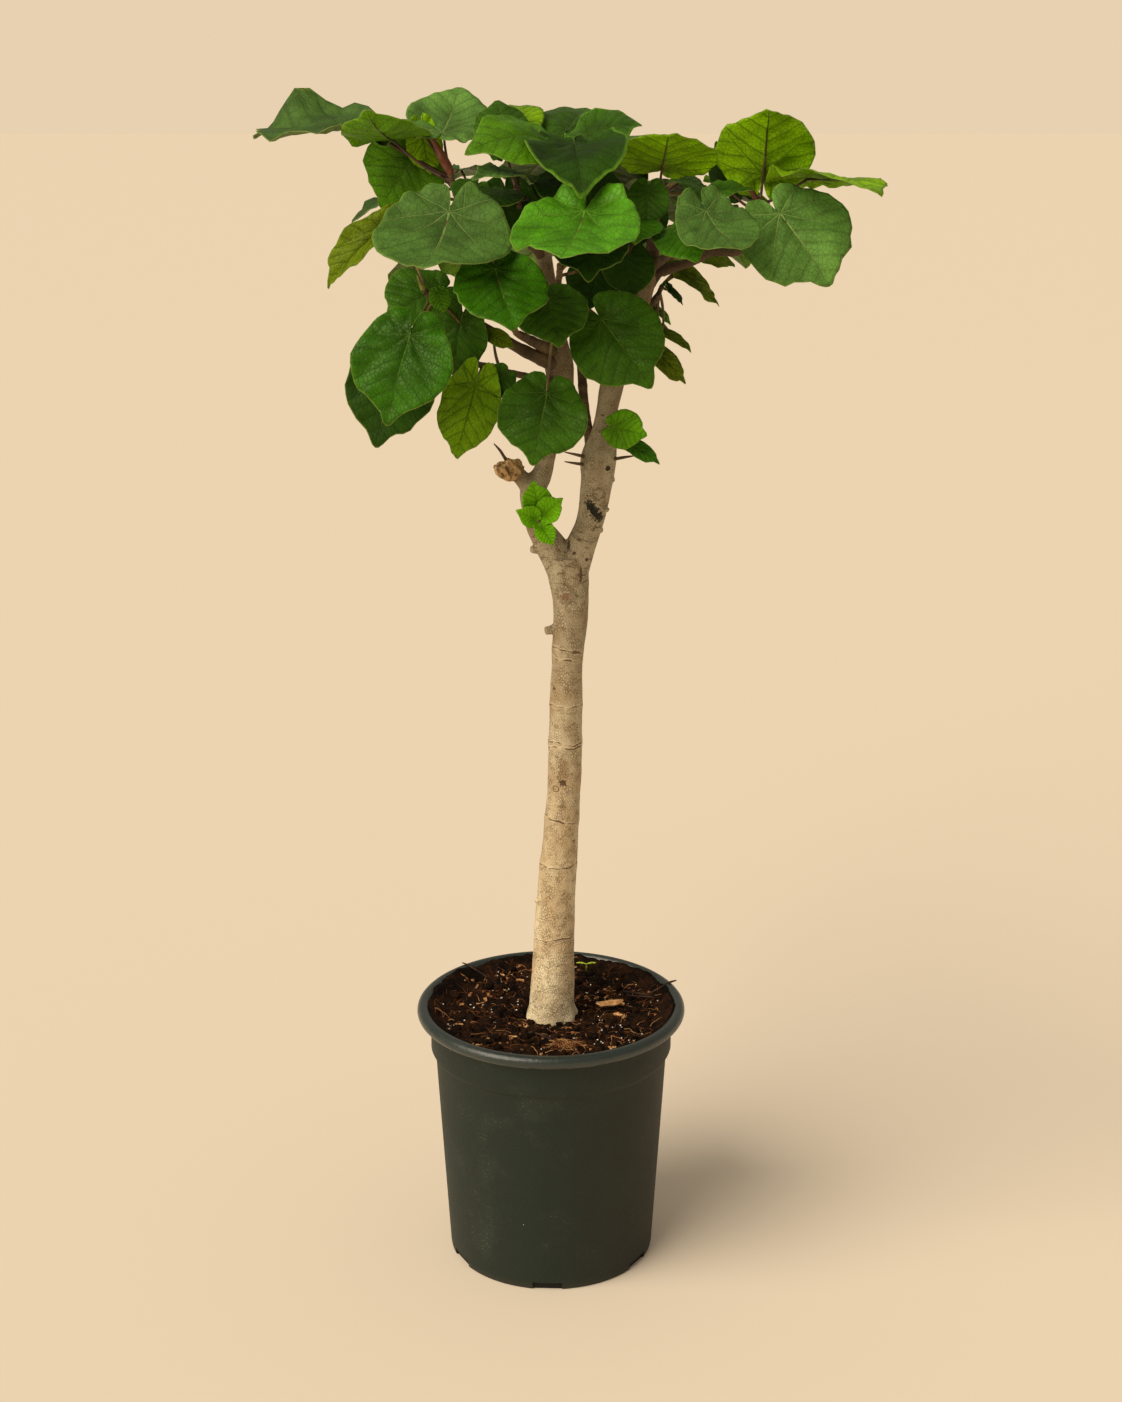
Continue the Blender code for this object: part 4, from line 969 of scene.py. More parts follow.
BRANCHES = {
    "left_low": [
        (0.008, 0.0, 1.076, 0.009), (-0.033, -0.03, 1.099, 0.0062), (-0.074, -0.048, 1.126, 0.005),
        (-0.116, -0.056, 1.147, 0.004)],
    "left_front": [
        (0.006, 0.0, 1.09, 0.0075), (-0.014, -0.028, 1.104, 0.0058), (-0.032, -0.05, 1.116, 0.0045)],
    "left_thin": [
        (0.008, 0.0, 1.056, 0.006), (-0.02, -0.034, 1.068, 0.004), (-0.046, -0.056, 1.077, 0.0034)],
    "left_top": [
        (-0.001, 0.011, 1.14, 0.0085), (-0.04, 0.014, 1.172, 0.0066), (-0.074, 0.012, 1.208, 0.0054),
        (-0.092, 0.006, 1.238, 0.0042)],
    "centre_front": [
        (0.002, 0.008, 1.12, 0.008), (0.006, -0.016, 1.142, 0.0058), (0.008, -0.034, 1.162, 0.0044)],
    "crown_left": [
        (-0.006, 0.014, 1.19, 0.007), (-0.022, 0.004, 1.218, 0.0056), (-0.03, -0.004, 1.238, 0.0044)],
    "crown_centre": [
        (-0.008, 0.015, 1.195, 0.0074), (0.0, 0.018, 1.23, 0.0058), (0.01, 0.016, 1.258, 0.0046)],
    "right_top": [
        (0.11, 0.01, 1.186, 0.008), (0.113, -0.004, 1.212, 0.0058), (0.114, -0.016, 1.232, 0.0044)],
    "right_out": [
        (0.107, 0.012, 1.174, 0.007), (0.153, 0.004, 1.188, 0.0046), (0.177, 0.0, 1.199, 0.0043),
        (0.204, 0.0, 1.199, 0.004), (0.218, -0.002, 1.213, 0.0038)],
    "right_front": [
        (0.108, 0.011, 1.18, 0.006), (0.122, -0.022, 1.194, 0.0046), (0.132, -0.044, 1.204, 0.0038)],
    "right_low": [
        (0.094, 0.014, 1.128, 0.0055), (0.109, 0.016, 1.14, 0.004), (0.115, 0.018, 1.147, 0.0034)],
    "right_small": [
        (0.059, 0.002, 0.996, 0.008), (0.064, -0.013, 1.0, 0.0036), (0.067, -0.019, 1.003, 0.003)],
    "fork": [
        (-0.006, -0.004, 0.884, 0.009), (-0.01, -0.02, 0.89, 0.0048), (-0.011, -0.028, 0.895, 0.004)],
    "dark_leader": [
        (0.052, 0.001, 0.966, 0.012), (0.044, 0.006, 0.996, 0.0062), (0.038, 0.014, 1.03, 0.0052),
        (0.034, 0.03, 1.085, 0.005), (0.032, 0.056, 1.14, 0.0046), (0.03, 0.084, 1.176, 0.0042)],
    "back_left": [
        (-0.007, 0.015, 1.196, 0.0068), (-0.034, 0.052, 1.214, 0.0052), (-0.06, 0.084, 1.23, 0.0042)],
    "back_left_low": [
        (0.0, 0.011, 1.13, 0.007), (-0.042, 0.054, 1.146, 0.0052), (-0.08, 0.084, 1.162, 0.0042)],
    "back_top": [
        (-0.008, 0.015, 1.2, 0.007), (0.008, 0.05, 1.24, 0.0052), (0.016, 0.074, 1.268, 0.0042)],
    "back_right": [
        (0.111, 0.01, 1.188, 0.007), (0.112, 0.05, 1.214, 0.0052), (0.116, 0.084, 1.236, 0.0042)],
    "back_right_low": [
        (0.101, 0.013, 1.15, 0.006), (0.124, 0.056, 1.176, 0.0048), (0.142, 0.084, 1.192, 0.004)],
}


@dataclass(frozen=True)
class Stub:
    """A short dead stub or bare twig: its root, its end and the radius at each."""

    root: Triple
    end: Triple
    root_radius: float
    end_radius: float

    def route(self) -> Route:
        """The stub's route, with its waist."""
        root, end = Vector(self.root), Vector(self.end)
        waist = 0.6 * self.end_radius + 0.4 * self.root_radius
        return [(*root, self.root_radius), (*root.lerp(end, 0.6), waist), (*end, self.end_radius)]

    def bent_route(self, bend: float) -> Route:
        """The twig's route, bent to one side and back."""
        root, end = Vector(self.root), Vector(self.end)
        side = (end - root).cross(Z_AXIS).normalized() * bend
        return [(*root, self.root_radius), (*(root.lerp(end, 0.35) + side), 0.5 * self.root_radius),
                (*(root.lerp(end, 0.7) - side), 1.3 * self.end_radius), (*end, 0.5 * self.end_radius)]


STUBS = [
    Stub((0.02, 0.001, 0.779), (-0.006, -0.008, 0.777), 0.008, 0.0046),
    Stub((0.004, 0.002, 0.448), (-0.018, -0.01, 0.449), 0.0075, 0.004),
    Stub((-0.002, -0.002, 0.87), (-0.022, -0.012, 0.872), 0.0066, 0.0042),
    Stub((0.014, -0.003, 0.572), (0.01, -0.021, 0.574), 0.007, 0.004),
    Stub((0.05, 0.001, 0.948), (0.072, -0.006, 0.95), 0.0052, 0.0026),
    Stub((0.045, 0.001, 0.914), (0.065, -0.01, 0.917), 0.005, 0.0026),
    Stub((0.04, 0.001, 0.89), (0.059, -0.008, 0.893), 0.005, 0.0028),
]
TWIGS = [
    Stub((-0.042, -0.01, 0.966), (-0.062, -0.024, 0.994), 0.004, 0.0012),
    Stub((0.056, 0.001, 0.97), (0.094, -0.016, 0.979), 0.0046, 0.0012),
    Stub((0.052, 0.001, 0.972), (0.016, -0.027, 0.985), 0.0046, 0.0012),
    Stub((0.052, 0.001, 0.964), (0.016, -0.025, 0.974), 0.0044, 0.0012),
]
NODE_RINGS = ((0.755, -0.26), (0.7445, -0.1), (0.689, 0.06), (0.645, -0.05), (0.6395, 0.08), (0.548, -0.19),
              (0.494, 0.05), (0.405, 0.12))
BARK_MARKS = (
    Mark((0.044, -0.014, 0.9235), (0.0052, 0.012, 0.0056), srgb(40, 42, 28), 0.92, -0.9, rough=2.4),
    Mark((0.0468, -0.014, 0.9195), (0.006, 0.012, 0.006), srgb(36, 40, 26), 0.92, -0.9, rough=2.4),
    Mark((0.0496, -0.014, 0.9155), (0.006, 0.012, 0.0062), srgb(34, 38, 26), 0.92, -0.9, rough=2.4),
    Mark((0.0524, -0.014, 0.9115), (0.0058, 0.012, 0.006), srgb(42, 40, 26), 0.92, -0.9, rough=2.4),
    Mark((0.0548, -0.013, 0.9078), (0.005, 0.012, 0.0056), srgb(52, 42, 28), 0.9, -0.9, rough=2.4),
    # Painted shade: a dark streak in the crotch where the two limbs part.
    Mark((0.0205, -0.018, 0.878), (0.0026, 0.014, 0.01), srgb(66, 44, 26), 0.85, -0.8),
    Mark((0.0345, -0.02, 0.845), (0.0018, 0.012, 0.0105), srgb(84, 58, 34), 0.8, -0.7, rough=0.8),
    Mark((0.025, -0.022, 0.844), (0.01, 0.022, 0.013), srgb(112, 82, 50), 0.35, -0.5, ring=True, rough=0.7),
    Mark((0.017, -0.022, 0.819), (0.0064, 0.012, 0.0056), srgb(118, 80, 50), 0.75, -0.4, rough=1.8),
    Mark((0.018, -0.022, 0.82), (0.011, 0.014, 0.008), srgb(104, 76, 44), 0.4, -0.5, ring=True, rough=1.9),
    Mark((0.015, -0.02, 0.613), (0.006, 0.014, 0.019), srgb(130, 100, 64), 0.45, -0.2, rough=3.2),
    Mark((0.014, -0.02, 0.598), (0.0048, 0.012, 0.005), srgb(78, 50, 30), 0.85, -0.7, rough=1.9),
    Mark((0.006, -0.02, 0.59), (0.0036, 0.012, 0.0036), srgb(96, 66, 38), 0.7, -0.6, ring=True, rough=0.5),
    Mark((0.054, -0.016, 0.936), (0.007, 0.012, 0.006), srgb(104, 74, 44), 0.45, -0.6, ring=True, rough=2.0),
    Mark((0.064, -0.016, 0.965), (0.0032, 0.012, 0.0032), srgb(48, 34, 22), 0.95, -0.8),
    Mark((0.041, -0.018, 0.861), (0.0024, 0.012, 0.0022), srgb(70, 48, 28), 0.9, -0.6),
    Mark((0.027, -0.018, 0.869), (0.002, 0.012, 0.002), srgb(70, 48, 28), 0.9, -0.6),
    Mark((0.032, -0.018, 0.884), (0.003, 0.012, 0.002), srgb(84, 60, 36), 0.7, -0.5),
    Mark((0.004, -0.02, 0.71), (0.0022, 0.014, 0.002), srgb(80, 54, 32), 0.8, -0.6),
    Mark((0.027, -0.02, 0.525), (0.0026, 0.014, 0.002), srgb(84, 58, 34), 0.7, -0.5),
)


@dataclass
class Woodwork:
    """Trunk, limbs, stubs, gall, branches and twigs of the tree."""

    effects: Effects
    voxel: float = 0.0016
    trunk_sides: int = 24
    branch_sides: int = 12
    relief: float = 0.0007
    foot_level: float = 0.297
    flare: float = 0.006
    gall_centre: Triple = (-0.044, -0.011, 0.963)
    gall_size: Triple = (0.017, 0.013, 0.012)
    rings: tuple = NODE_RINGS
    ring_width: float = 0.005
    ring_swell: float = 0.0006
    gall_fill: float = 0.86
    twig_bend: float = 0.0016

    def build(self) -> None:
        """Build and dress all the wood."""
        bark, young, knob = self.effects.dress(
            BarkFinish("bark", rough=0.78, specular=0.3, rings=self.rings, marks=BARK_MARKS),
            BarkFinish("branch_bark", rough=0.7, specular=0.35, pale=srgb(112, 94, 64),
                       grey=srgb(84, 68, 44), brown=srgb(62, 46, 30), foot_light=1.0, head_light=1.0,
                       brown_from=1.0, brown_to=1.2),
            SkinFinish("gall_skin", rough=0.8, specular=0.25, light=srgb(206, 170, 118),
                       dark=srgb(112, 80, 48), coarse=180.0, relief=0.0015))
        self.build_trunk(bark)
        self.build_branches(young)
        self.build_gall(knob)

    def ringed(self, route: Route) -> Route:
        """A route whose radius swells a little at each ring scar."""
        made = []
        for x, y, z, radius in route:
            swell = sum(hump(z - ring, self.ring_width) for ring, _ in self.rings)
            made.append((x, y, z, radius + self.ring_swell * swell))
        return made

    def build_trunk(self, bark: Material) -> None:
        """The trunk with both limbs and its stubs, grown into one skin.

        Args:
            bark: The bark's material.
        """
        work = bmesh.new()
        Sweep(self.ringed(smooth_route(TRUNK, 8)), self.trunk_sides).add_to(work)
        for limb in (RIGHT_LIMB, LEFT_LIMB):
            Sweep(smooth_route(limb, 6), self.trunk_sides).add_to(work)
        Sweep(smooth_route(GALL_STALK, 5), self.branch_sides).add_to(work)
        for stub in STUBS:
            Sweep(stub.route(), self.branch_sides).add_to(work)
        piece = finished("tree_trunk", work, [bark], "tree")
        grow = piece.modifiers.new("Grown together", "REMESH")
        grow.mode = "VOXEL"
        grow.voxel_size = self.voxel
        grow.use_smooth_shade = True
        soft = piece.modifiers.new("Softened joints", "SMOOTH")
        soft.factor = 0.5
        soft.iterations = 3
        settled(piece)
        self.roughen(piece.data)

    def roughen(self, mesh: bpy.types.Mesh) -> None:
        """Push a bark skin in and out a little: shallow dents, ripples, and the roots' flare at its foot."""
        work = bmesh.new()
        work.from_mesh(mesh)
        work.normal_update()
        moves = []
        for vertex in work.verts:
            spot = vertex.co
            dents = noise.noise(Vector((spot.x, spot.y, spot.z * 0.6)) * 42.0)
            ripple = noise.noise(Vector((spot.x, spot.y, spot.z * 0.5)) * 150.0)
            around = Vector((spot.x, spot.y, 0.0)).normalized()
            root = max(0.0, 0.35 + noise.noise(1.5 * around + Vector((4.0, 0.0, 0.0))))
            low = hump(spot.z - self.foot_level, 0.011)
            skin = self.relief * (1.2 * dents + 0.5 * ripple) * vertex.normal
            moves.append(skin + self.flare * low * root * around)
        for vertex, move in zip(work.verts, moves):
            vertex.co += move
        smoothed(work.faces)
        work.to_mesh(mesh)
        work.free()

    def build_branches(self, bark: Material) -> None:
        """The woody branches, each with small rings where leaves once sat, and the bare twigs.

        Args:
            bark: The younger bark's material.
        """
        work = bmesh.new()
        for name, points in BRANCHES.items():
            route = smooth_route(points, 12)
            draw = random.Random(SEED + len(name) * 7 + ord(name[-1]))
            ringed = []
            for index, (x, y, z, radius) in enumerate(route):
                last = index > len(route) - 3
                knot = 0.0 if last else max(0.0, math.sin(index * 1.35 + draw.uniform(-0.5, 0.5))) ** 4
                ringed.append((x, y, z, radius * (1.0 + 0.09 * knot)))
            Sweep(ringed, self.branch_sides).add_to(work)
        for twig in TWIGS:
            Sweep(smooth_route(twig.bent_route(self.twig_bend), 5), 8).add_to(work)
        finished("tree_branches", work, [bark], "tree")

    def build_gall(self, skin: Material) -> None:
        """The knobbly gall on the pruned stub, a ball swollen into small lumps.

        Args:
            skin: The gall's material.
        """
        work = bmesh.new()
        bmesh.ops.create_icosphere(work, subdivisions=5, radius=1.0)
        for vertex in work.verts:
            spot = vertex.co.copy()
            swell = 1.0 + 0.36 * noise.noise(1.7 * spot)
            swell += 0.3 * (0.5 - abs(noise.noise(3.6 * spot))) + 0.1 * noise.noise(9.0 * spot)
            vertex.co = Vector([self.gall_fill * c * s * swell for c, s in zip(spot, self.gall_size)])
        bmesh.ops.translate(work, vec=self.gall_centre, verts=work.verts)
        smoothed(work.faces)
        finished("tree_gall", work, [skin], "tree")


@dataclass(frozen=True)
class Bud:
    """A long pointed bud scale over a growing point."""

    base: Triple
    tip: Triple
    radius: float


class Stalk(Enum):
    """The kinds of leaf stalk, as places in the list of their finishes."""

    PLAIN = 0
    RED = 1
    GREEN = 2


@dataclass(frozen=True)
class Shoot:
    """One leafy shoot: the branch that it sits on, its stem's further points, leaves and buds."""

    branch: str
    stem: list
    leaves: list
    buds: tuple = ()
    radius: float = 0.0034
    stalk: Stalk = Stalk.PLAIN


T = LeafTone
SHOOTS = {
    "shoot_left_top": Shoot("left_top", [(-0.102, 0.002, 1.262), (-0.107, 0.0, 1.284)], [
        Leaf((-0.195, 0.045, 1.329), (-0.34, 0.148, 1.314), (0.0, -0.25, 1.0), T.GREY, 0.62, arch=0.05,
             curl=0.9, at=0.9, pleat=0.05, light=0.76),
        Leaf((-0.165, 0.0, 1.318), (-0.19, -0.072, 1.352), (0.0, 0.3, 0.95), T.BRIGHT, 1.1, arch=-0.1,
             at=0.8, light=1.2),
        Leaf((-0.115, 0.0, 1.325), (-0.098, 0.065, 1.374), (0.0, -0.65, 0.75), T.GREY, 1.05, arch=-0.06,
             cup=0.1, drip=0.05, light=1.43),
        Leaf((-0.138, 0.015, 1.328), (-0.13, 0.028, 1.279), (0.0, -1.0, 0.1), T.BACKLIT, 0.75, at=0.7),
        Leaf((-0.145, 0.035, 1.301), (-0.187, 0.048, 1.244), (0.0, -1.0, 0.1), T.BRIGHT, 1.25, at=0.5,
             light=0.9),
        Leaf((-0.105, -0.08, 1.247), (-0.13, -0.175, 1.193), (-0.05, -0.5, 0.85), T.GREY, 1.25, arch=-0.1,
             at=0.1, drip=0.05, light=1.05),
    ], (Bud((-0.107, 0.0, 1.284), (-0.13, -0.01, 1.328), 0.0055),), stalk=Stalk.RED),
    "shoot_left_low": Shoot("left_low", [(-0.126, -0.058, 1.156), (-0.133, -0.062, 1.164)], [
        Leaf((-0.178, 0.02, 1.226), (-0.243, 0.01, 1.16), (-0.4, -0.7, 0.6), T.OLIVE, 0.52, fold=0.4,
             light=1.15),
        Leaf((-0.12, -0.022, 1.16), (-0.176, -0.05, 1.132), (-0.1, -0.75, 0.65), T.DEEP, 1.25),
        Leaf((-0.143, -0.16, 1.129), (-0.167, -0.185, 1.042), (-0.15, -0.9, 0.3), T.GLOSSY, 1.1, at=0.6,
             quilt=0.012, pleat=0.07, light=0.84),
        Leaf((-0.156, -0.115, 1.103), (-0.184, -0.13, 1.009), (-0.2, -0.95, 0.2), T.SHADE, 0.95, at=0.3),
        Leaf((-0.118, -0.078, 1.165), (-0.11, -0.09, 1.144), (0.0, -1.0, 0.2), T.BRIGHT, 0.9, at=0.8),
        Leaf((-0.094, -0.066, 1.134), (-0.104, -0.062, 1.074), (-0.1, -1.0, 0.1), T.DEEP, 1.0, at=0.6,
             bend=(0.0, -0.014, 0.0)),
    ], (Bud((-0.133, -0.062, 1.164), (-0.141, -0.066, 1.182), 0.0035),)),
    "shoot_left_front": Shoot("left_front", [(-0.04, -0.064, 1.128), (-0.044, -0.074, 1.14)], [
        Leaf((-0.056, -0.12, 1.193), (-0.035, -0.175, 1.135), (0.1, -0.7, 0.7), T.GLOSSY, 1.15, arch=-0.03,
             quilt=0.011, pleat=0.05, light=1.2),
    ], (Bud((-0.044, -0.074, 1.14), (-0.047, -0.08, 1.155), 0.0032),)),
    "shoot_left_thin": Shoot("left_thin", [(-0.06, -0.074, 1.084), (-0.084, -0.088, 1.091)], [
        Leaf((-0.078, -0.102, 1.071), (-0.101, -0.094, 0.991), (0.1, -1.0, 0.1), T.BACKLIT, 0.76, at=0.7,
             light=0.8),
        Leaf((-0.048, -0.088, 1.079), (-0.07, -0.098, 1.058), (0.0, -0.9, 0.3), T.DEEP, 1.2, at=0.2),
        Leaf((-0.064, -0.062, 1.118), (-0.038, -0.068, 1.105), (0.0, -0.8, 0.6), T.OLIVE, 0.7, at=0.1),
    ]),
    "shoot_centre_low": Shoot("centre_front", [(0.01, -0.044, 1.177), (0.011, -0.052, 1.191)], [
        Leaf((-0.003, -0.105, 1.061), (-0.018, -0.135, 0.989), (0.05, -0.95, 0.3), T.DEEP, 1.15, at=0.1,
             bend=(0.0, -0.014, 0.014)),
        Leaf((-0.002, -0.07, 1.158), (0.011, -0.1, 1.109), (0.0, -0.8, 0.5), T.DEEP, 1.3, at=0.1),
        Leaf((0.055, -0.06, 1.134), (0.108, -0.085, 1.065), (-0.05, -0.95, 0.3), T.DEEP, 1.1, at=0.2,
             light=1.15),
        Leaf((0.036, -0.13, 1.252), (0.008, -0.232, 1.209), (-0.12, -0.42, 0.9), T.FRESH, 1.12, arch=-0.05,
             wave=0.04, drip=0.05, quilt=0.012, pleat=0.05, light=1.05),
        Leaf((0.042, -0.095, 1.225), (0.04, -0.155, 1.186), (0.0, -0.55, 0.83), T.SHADE, 1.1, at=0.7),
        Leaf((0.052, 0.0, 1.184), (0.041, -0.02, 1.138), (0.0, -0.9, 0.4), T.SHADE, 1.15, at=0.5),
    ]),
    "shoot_crown_left": Shoot("crown_left", [(-0.034, -0.012, 1.254), (-0.036, -0.016, 1.268)], [
        Leaf((-0.048, -0.02, 1.313), (-0.057, 0.02, 1.357), (0.0, -0.6, 0.8), T.DEEP, 1.0, cup=-0.2),
        Leaf((-0.05, -0.046, 1.267), (-0.06, -0.084, 1.251), (0.0, -0.5, 0.85), T.SHADE, 1.2, at=0.8),
        Leaf((-0.078, -0.032, 1.273), (-0.096, -0.058, 1.254), (0.0, -0.6, 0.8), T.DEEP, 1.1, at=0.6),
        Leaf((-0.048, 0.0, 1.266), (-0.041, -0.018, 1.216), (0.0, -0.8, 0.5), T.SHADE, 1.15, at=0.3),
        Leaf((-0.008, 0.0, 1.262), (-0.005, -0.018, 1.222), (0.0, -0.8, 0.5), T.SHADE, 1.1, at=0.5),
        Leaf((-0.03, -0.06, 1.286), (-0.078, -0.1, 1.283), (0.0, -0.3, 0.95), T.GREY, 0.8, at=0.9),
    ], stalk=Stalk.RED),
    "shoot_crown_centre": Shoot("crown_centre", [(0.014, 0.01, 1.276), (0.016, 0.004, 1.292)], [
        Leaf((0.0, -0.048, 1.316), (-0.088, -0.088, 1.305), (0.0, -0.6, 0.8), T.BRIGHT, 0.95, arch=0.16,
             cup=-0.3),
        Leaf((0.026, -0.04, 1.316), (0.033, -0.135, 1.266), (0.0, -0.5, 0.85), T.SHADE, 0.95, arch=0.1,
             cup=0.5, pleat=0.05, rim=1.0),
        Leaf((0.035, -0.01, 1.322), (0.1, -0.01, 1.33), (0.0, -0.5, 0.85), T.DEEP, 1.1, arch=0.1, wave=0.06,
             rim=1.0),
        Leaf((0.02, 0.035, 1.327), (0.04, 0.095, 1.347), (0.0, -0.5, 0.85), T.DEEP, 1.1),
        Leaf((-0.034, 0.03, 1.332), (-0.044, 0.08, 1.352), (0.0, -0.5, 0.85), T.BACKLIT, 1.1, at=0.8),
        Leaf((0.016, -0.03, 1.281), (0.008, -0.07, 1.247), (0.0, -0.8, 0.6), T.SHADE, 1.1, at=0.5),
        Leaf((0.054, 0.01, 1.268), (0.06, -0.002, 1.215), (0.1, -0.8, 0.5), T.SHADE, 1.15, at=0.2),
        Leaf((0.05, -0.02, 1.318), (0.074, -0.04, 1.3), (0.0, -0.6, 0.8), T.DEEP, 1.1, at=0.9),
    ], stalk=Stalk.RED),
    "shoot_right_top": Shoot("right_top", [(0.115, -0.024, 1.247), (0.115, -0.03, 1.259)], [
        Leaf((0.118, -0.04, 1.289), (0.124, -0.085, 1.332), (0.0, 0.7, 0.7), T.BACKLIT, 1.72, arch=-0.05,
             drip=0.03),
        Leaf((0.104, -0.06, 1.27), (0.1, -0.08, 1.23), (0.0, -0.9, 0.4), T.DEEP, 1.0, at=0.8),
        Leaf((0.094, -0.08, 1.238), (0.088, -0.122, 1.218), (0.0, -0.5, 0.85), T.FRESH, 1.05, at=0.3),
        Leaf((0.14, -0.01, 1.278), (0.172, 0.002, 1.262), (0.0, -0.5, 0.85), T.DEEP, 0.9, at=0.9),
        Leaf((0.101, 0.028, 1.252), (0.097, 0.014, 1.204), (0.0, -0.8, 0.5), T.SHADE, 1.15, at=0.3),
        Leaf((0.082, -0.02, 1.2), (0.088, -0.03, 1.152), (0.1, -0.9, 0.4), T.SHADE, 1.1, at=0.5),
    ], stalk=Stalk.RED),
    "shoot_right_front": Shoot("right_front", [(0.142, -0.062, 1.216), (0.148, -0.072, 1.226)], [
        Leaf((0.162, -0.105, 1.25), (0.2, -0.165, 1.217), (0.1, -0.45, 0.9), T.GREY, 1.12, arch=-0.1,
             drip=0.05, light=1.12),
        Leaf((0.13, -0.092, 1.229), (0.152, -0.132, 1.2), (0.0, -0.6, 0.8), T.FRESH, 1.1, at=0.6),
        Leaf((0.158, -0.04, 1.261), (0.215, -0.048, 1.269), (0.0, -0.4, 0.9), T.DEEP, 0.6, at=0.9),
    ]),
    "shoot_right_out": Shoot("right_out", [(0.222, -0.004, 1.228), (0.226, -0.002, 1.25)], [
        Leaf((0.229, -0.005, 1.282), (0.232, -0.035, 1.355), (0.0, 0.9, 0.4), T.BACKLIT, 1.3, drip=0.05),
        Leaf((0.272, -0.02, 1.279), (0.336, -0.148, 1.267), (0.0, 0.35, 1.0), T.BACKLIT, 0.7),
        Leaf((0.243, -0.06, 1.244), (0.294, -0.095, 1.171), (0.1, -0.9, 0.45), T.GREY, 1.22, at=0.7,
             quilt=0.012, pleat=0.07, light=1.5),
        Leaf((0.277, 0.045, 1.235), (0.334, 0.075, 1.203), (0.2, -0.4, 0.9), T.GREY, 1.1, at=0.5),
        Leaf((0.192, 0.016, 1.264), (0.18, 0.03, 1.315), (0.4, -0.8, 0.4), T.SHADE, 0.9, fold=0.3, at=0.8),
    ], (Bud((0.226, -0.002, 1.25), (0.212, -0.004, 1.272), 0.0038),), stalk=Stalk.RED),
    "shoot_right_low": Shoot("right_low", [(0.12, 0.02, 1.154), (0.123, 0.022, 1.161)], [
        Leaf((0.142, 0.024, 1.179), (0.187, 0.04, 1.137), (0.2, -0.6, 0.8), T.OLIVE, 0.45),
        Leaf((0.13, 0.016, 1.16), (0.147, 0.026, 1.139), (0.2, -0.6, 0.8), T.SHADE, 0.45, at=0.9),
        Leaf((0.114, 0.042, 1.137), (0.134, 0.048, 1.115), (0.2, -0.6, 0.8), T.BRIGHT, 0.5, at=0.4,
             light=1.3),
        Leaf((0.122, 0.032, 1.113), (0.158, 0.04, 1.085), (0.2, -0.6, 0.8), T.OLIVE, 0.4, at=0.5,
             bend=(0.012, 0.004, 0.004)),
        Leaf((0.114, 0.034, 1.091), (0.152, 0.04, 1.05), (0.2, -0.8, 0.5), T.OLIVE, 0.5, at=0.4,
             bend=(0.01, 0.012, 0.004)),
        Leaf((0.16, 0.028, 1.199), (0.204, 0.034, 1.181), (0.1, -0.5, 0.85), T.OLIVE, 0.8),
    ], radius=0.0026),
    "shoot_right_small": Shoot("right_small", [(0.07, -0.026, 1.011)], [
        Leaf((0.069, -0.034, 1.014), (0.106, -0.052, 1.007), (0.1, -1.0, 0.3), T.YOUNG, 1.05),
        Leaf((0.084, -0.028, 0.996), (0.121, -0.034, 0.972), (0.1, -0.7, 0.7), T.FRESH, 0.5, at=0.5),
    ], radius=0.0024, stalk=Stalk.GREEN),
    "shoot_fork": Shoot("fork", [(-0.012, -0.036, 0.906), (-0.012, -0.04, 0.916)], [
        Leaf((-0.012, -0.044, 0.923), (-0.019, -0.05, 0.958), (0.0, -1.0, 0.2), T.YOUNG, 0.95, fold=0.35,
             light=1.5),
        Leaf((-0.006, -0.049, 0.92), (0.014, -0.06, 0.94), (0.0, -1.0, 0.3), T.YOUNG, 0.95, fold=0.35,
             light=1.5),
        Leaf((-0.017, -0.052, 0.915), (-0.037, -0.062, 0.927), (0.0, -1.0, 0.3), T.YOUNG, 0.95, fold=0.35,
             light=1.5),
        Leaf((-0.009, -0.05, 0.905), (0.004, -0.06, 0.888), (0.0, -1.0, 0.3), T.YOUNG, 0.95, fold=0.35,
             light=1.5, at=0.7),
    ], radius=0.0022, stalk=Stalk.GREEN),
}


@dataclass(frozen=True)
class Spray:
    """A shoot at the back grown by rule: branch, stem end, outward bearing, spread, leaf count and seed."""

    branch: str
    end: Triple
    bearing: float
    spread: float
    count: int
    seed: int

    def shoot(self) -> Shoot:
        """The grown shoot, whose leaves fan out round the bearing and hang lower as they age."""
        draw = random.Random(SEED + self.seed)
        end = Vector(self.end)
        leaves = []
        for i in range(self.count):
            turn = self.bearing + self.spread * (i / (self.count - 1) - 0.5) + draw.uniform(-6, 6)
            bearing = math.radians(turn)
            out = Vector((math.cos(bearing), math.sin(bearing), 0.0))
            age = (i * 2 % self.count) / self.count
            stalk = draw.uniform(0.045, 0.065) + 0.02 * age
            rise = draw.uniform(0.02, 0.035) - 0.045 * age
            hub = end + out * stalk + Vector((0.0, 0.0, rise))
            length = draw.uniform(0.066, 0.09)
            drop = math.radians(draw.uniform(12, 28) + 30 * age)
            tip = hub + length * (out * math.cos(drop) - Vector((0.0, 0.0, math.sin(drop))))
            faces = out * math.sin(drop) + Vector((0.0, 0.0, math.cos(drop)))
            tone = (T.GREY, T.DEEP, T.FRESH, T.GLOSSY)[(i + self.seed) % 4]
            leaves.append(Leaf(tuple(hub), tuple(tip), tuple(faces), tone, draw.uniform(1.0, 1.2),
                               at=1.0 - 0.6 * age, hidden=True))
        return Shoot(self.branch, [self.end], leaves)


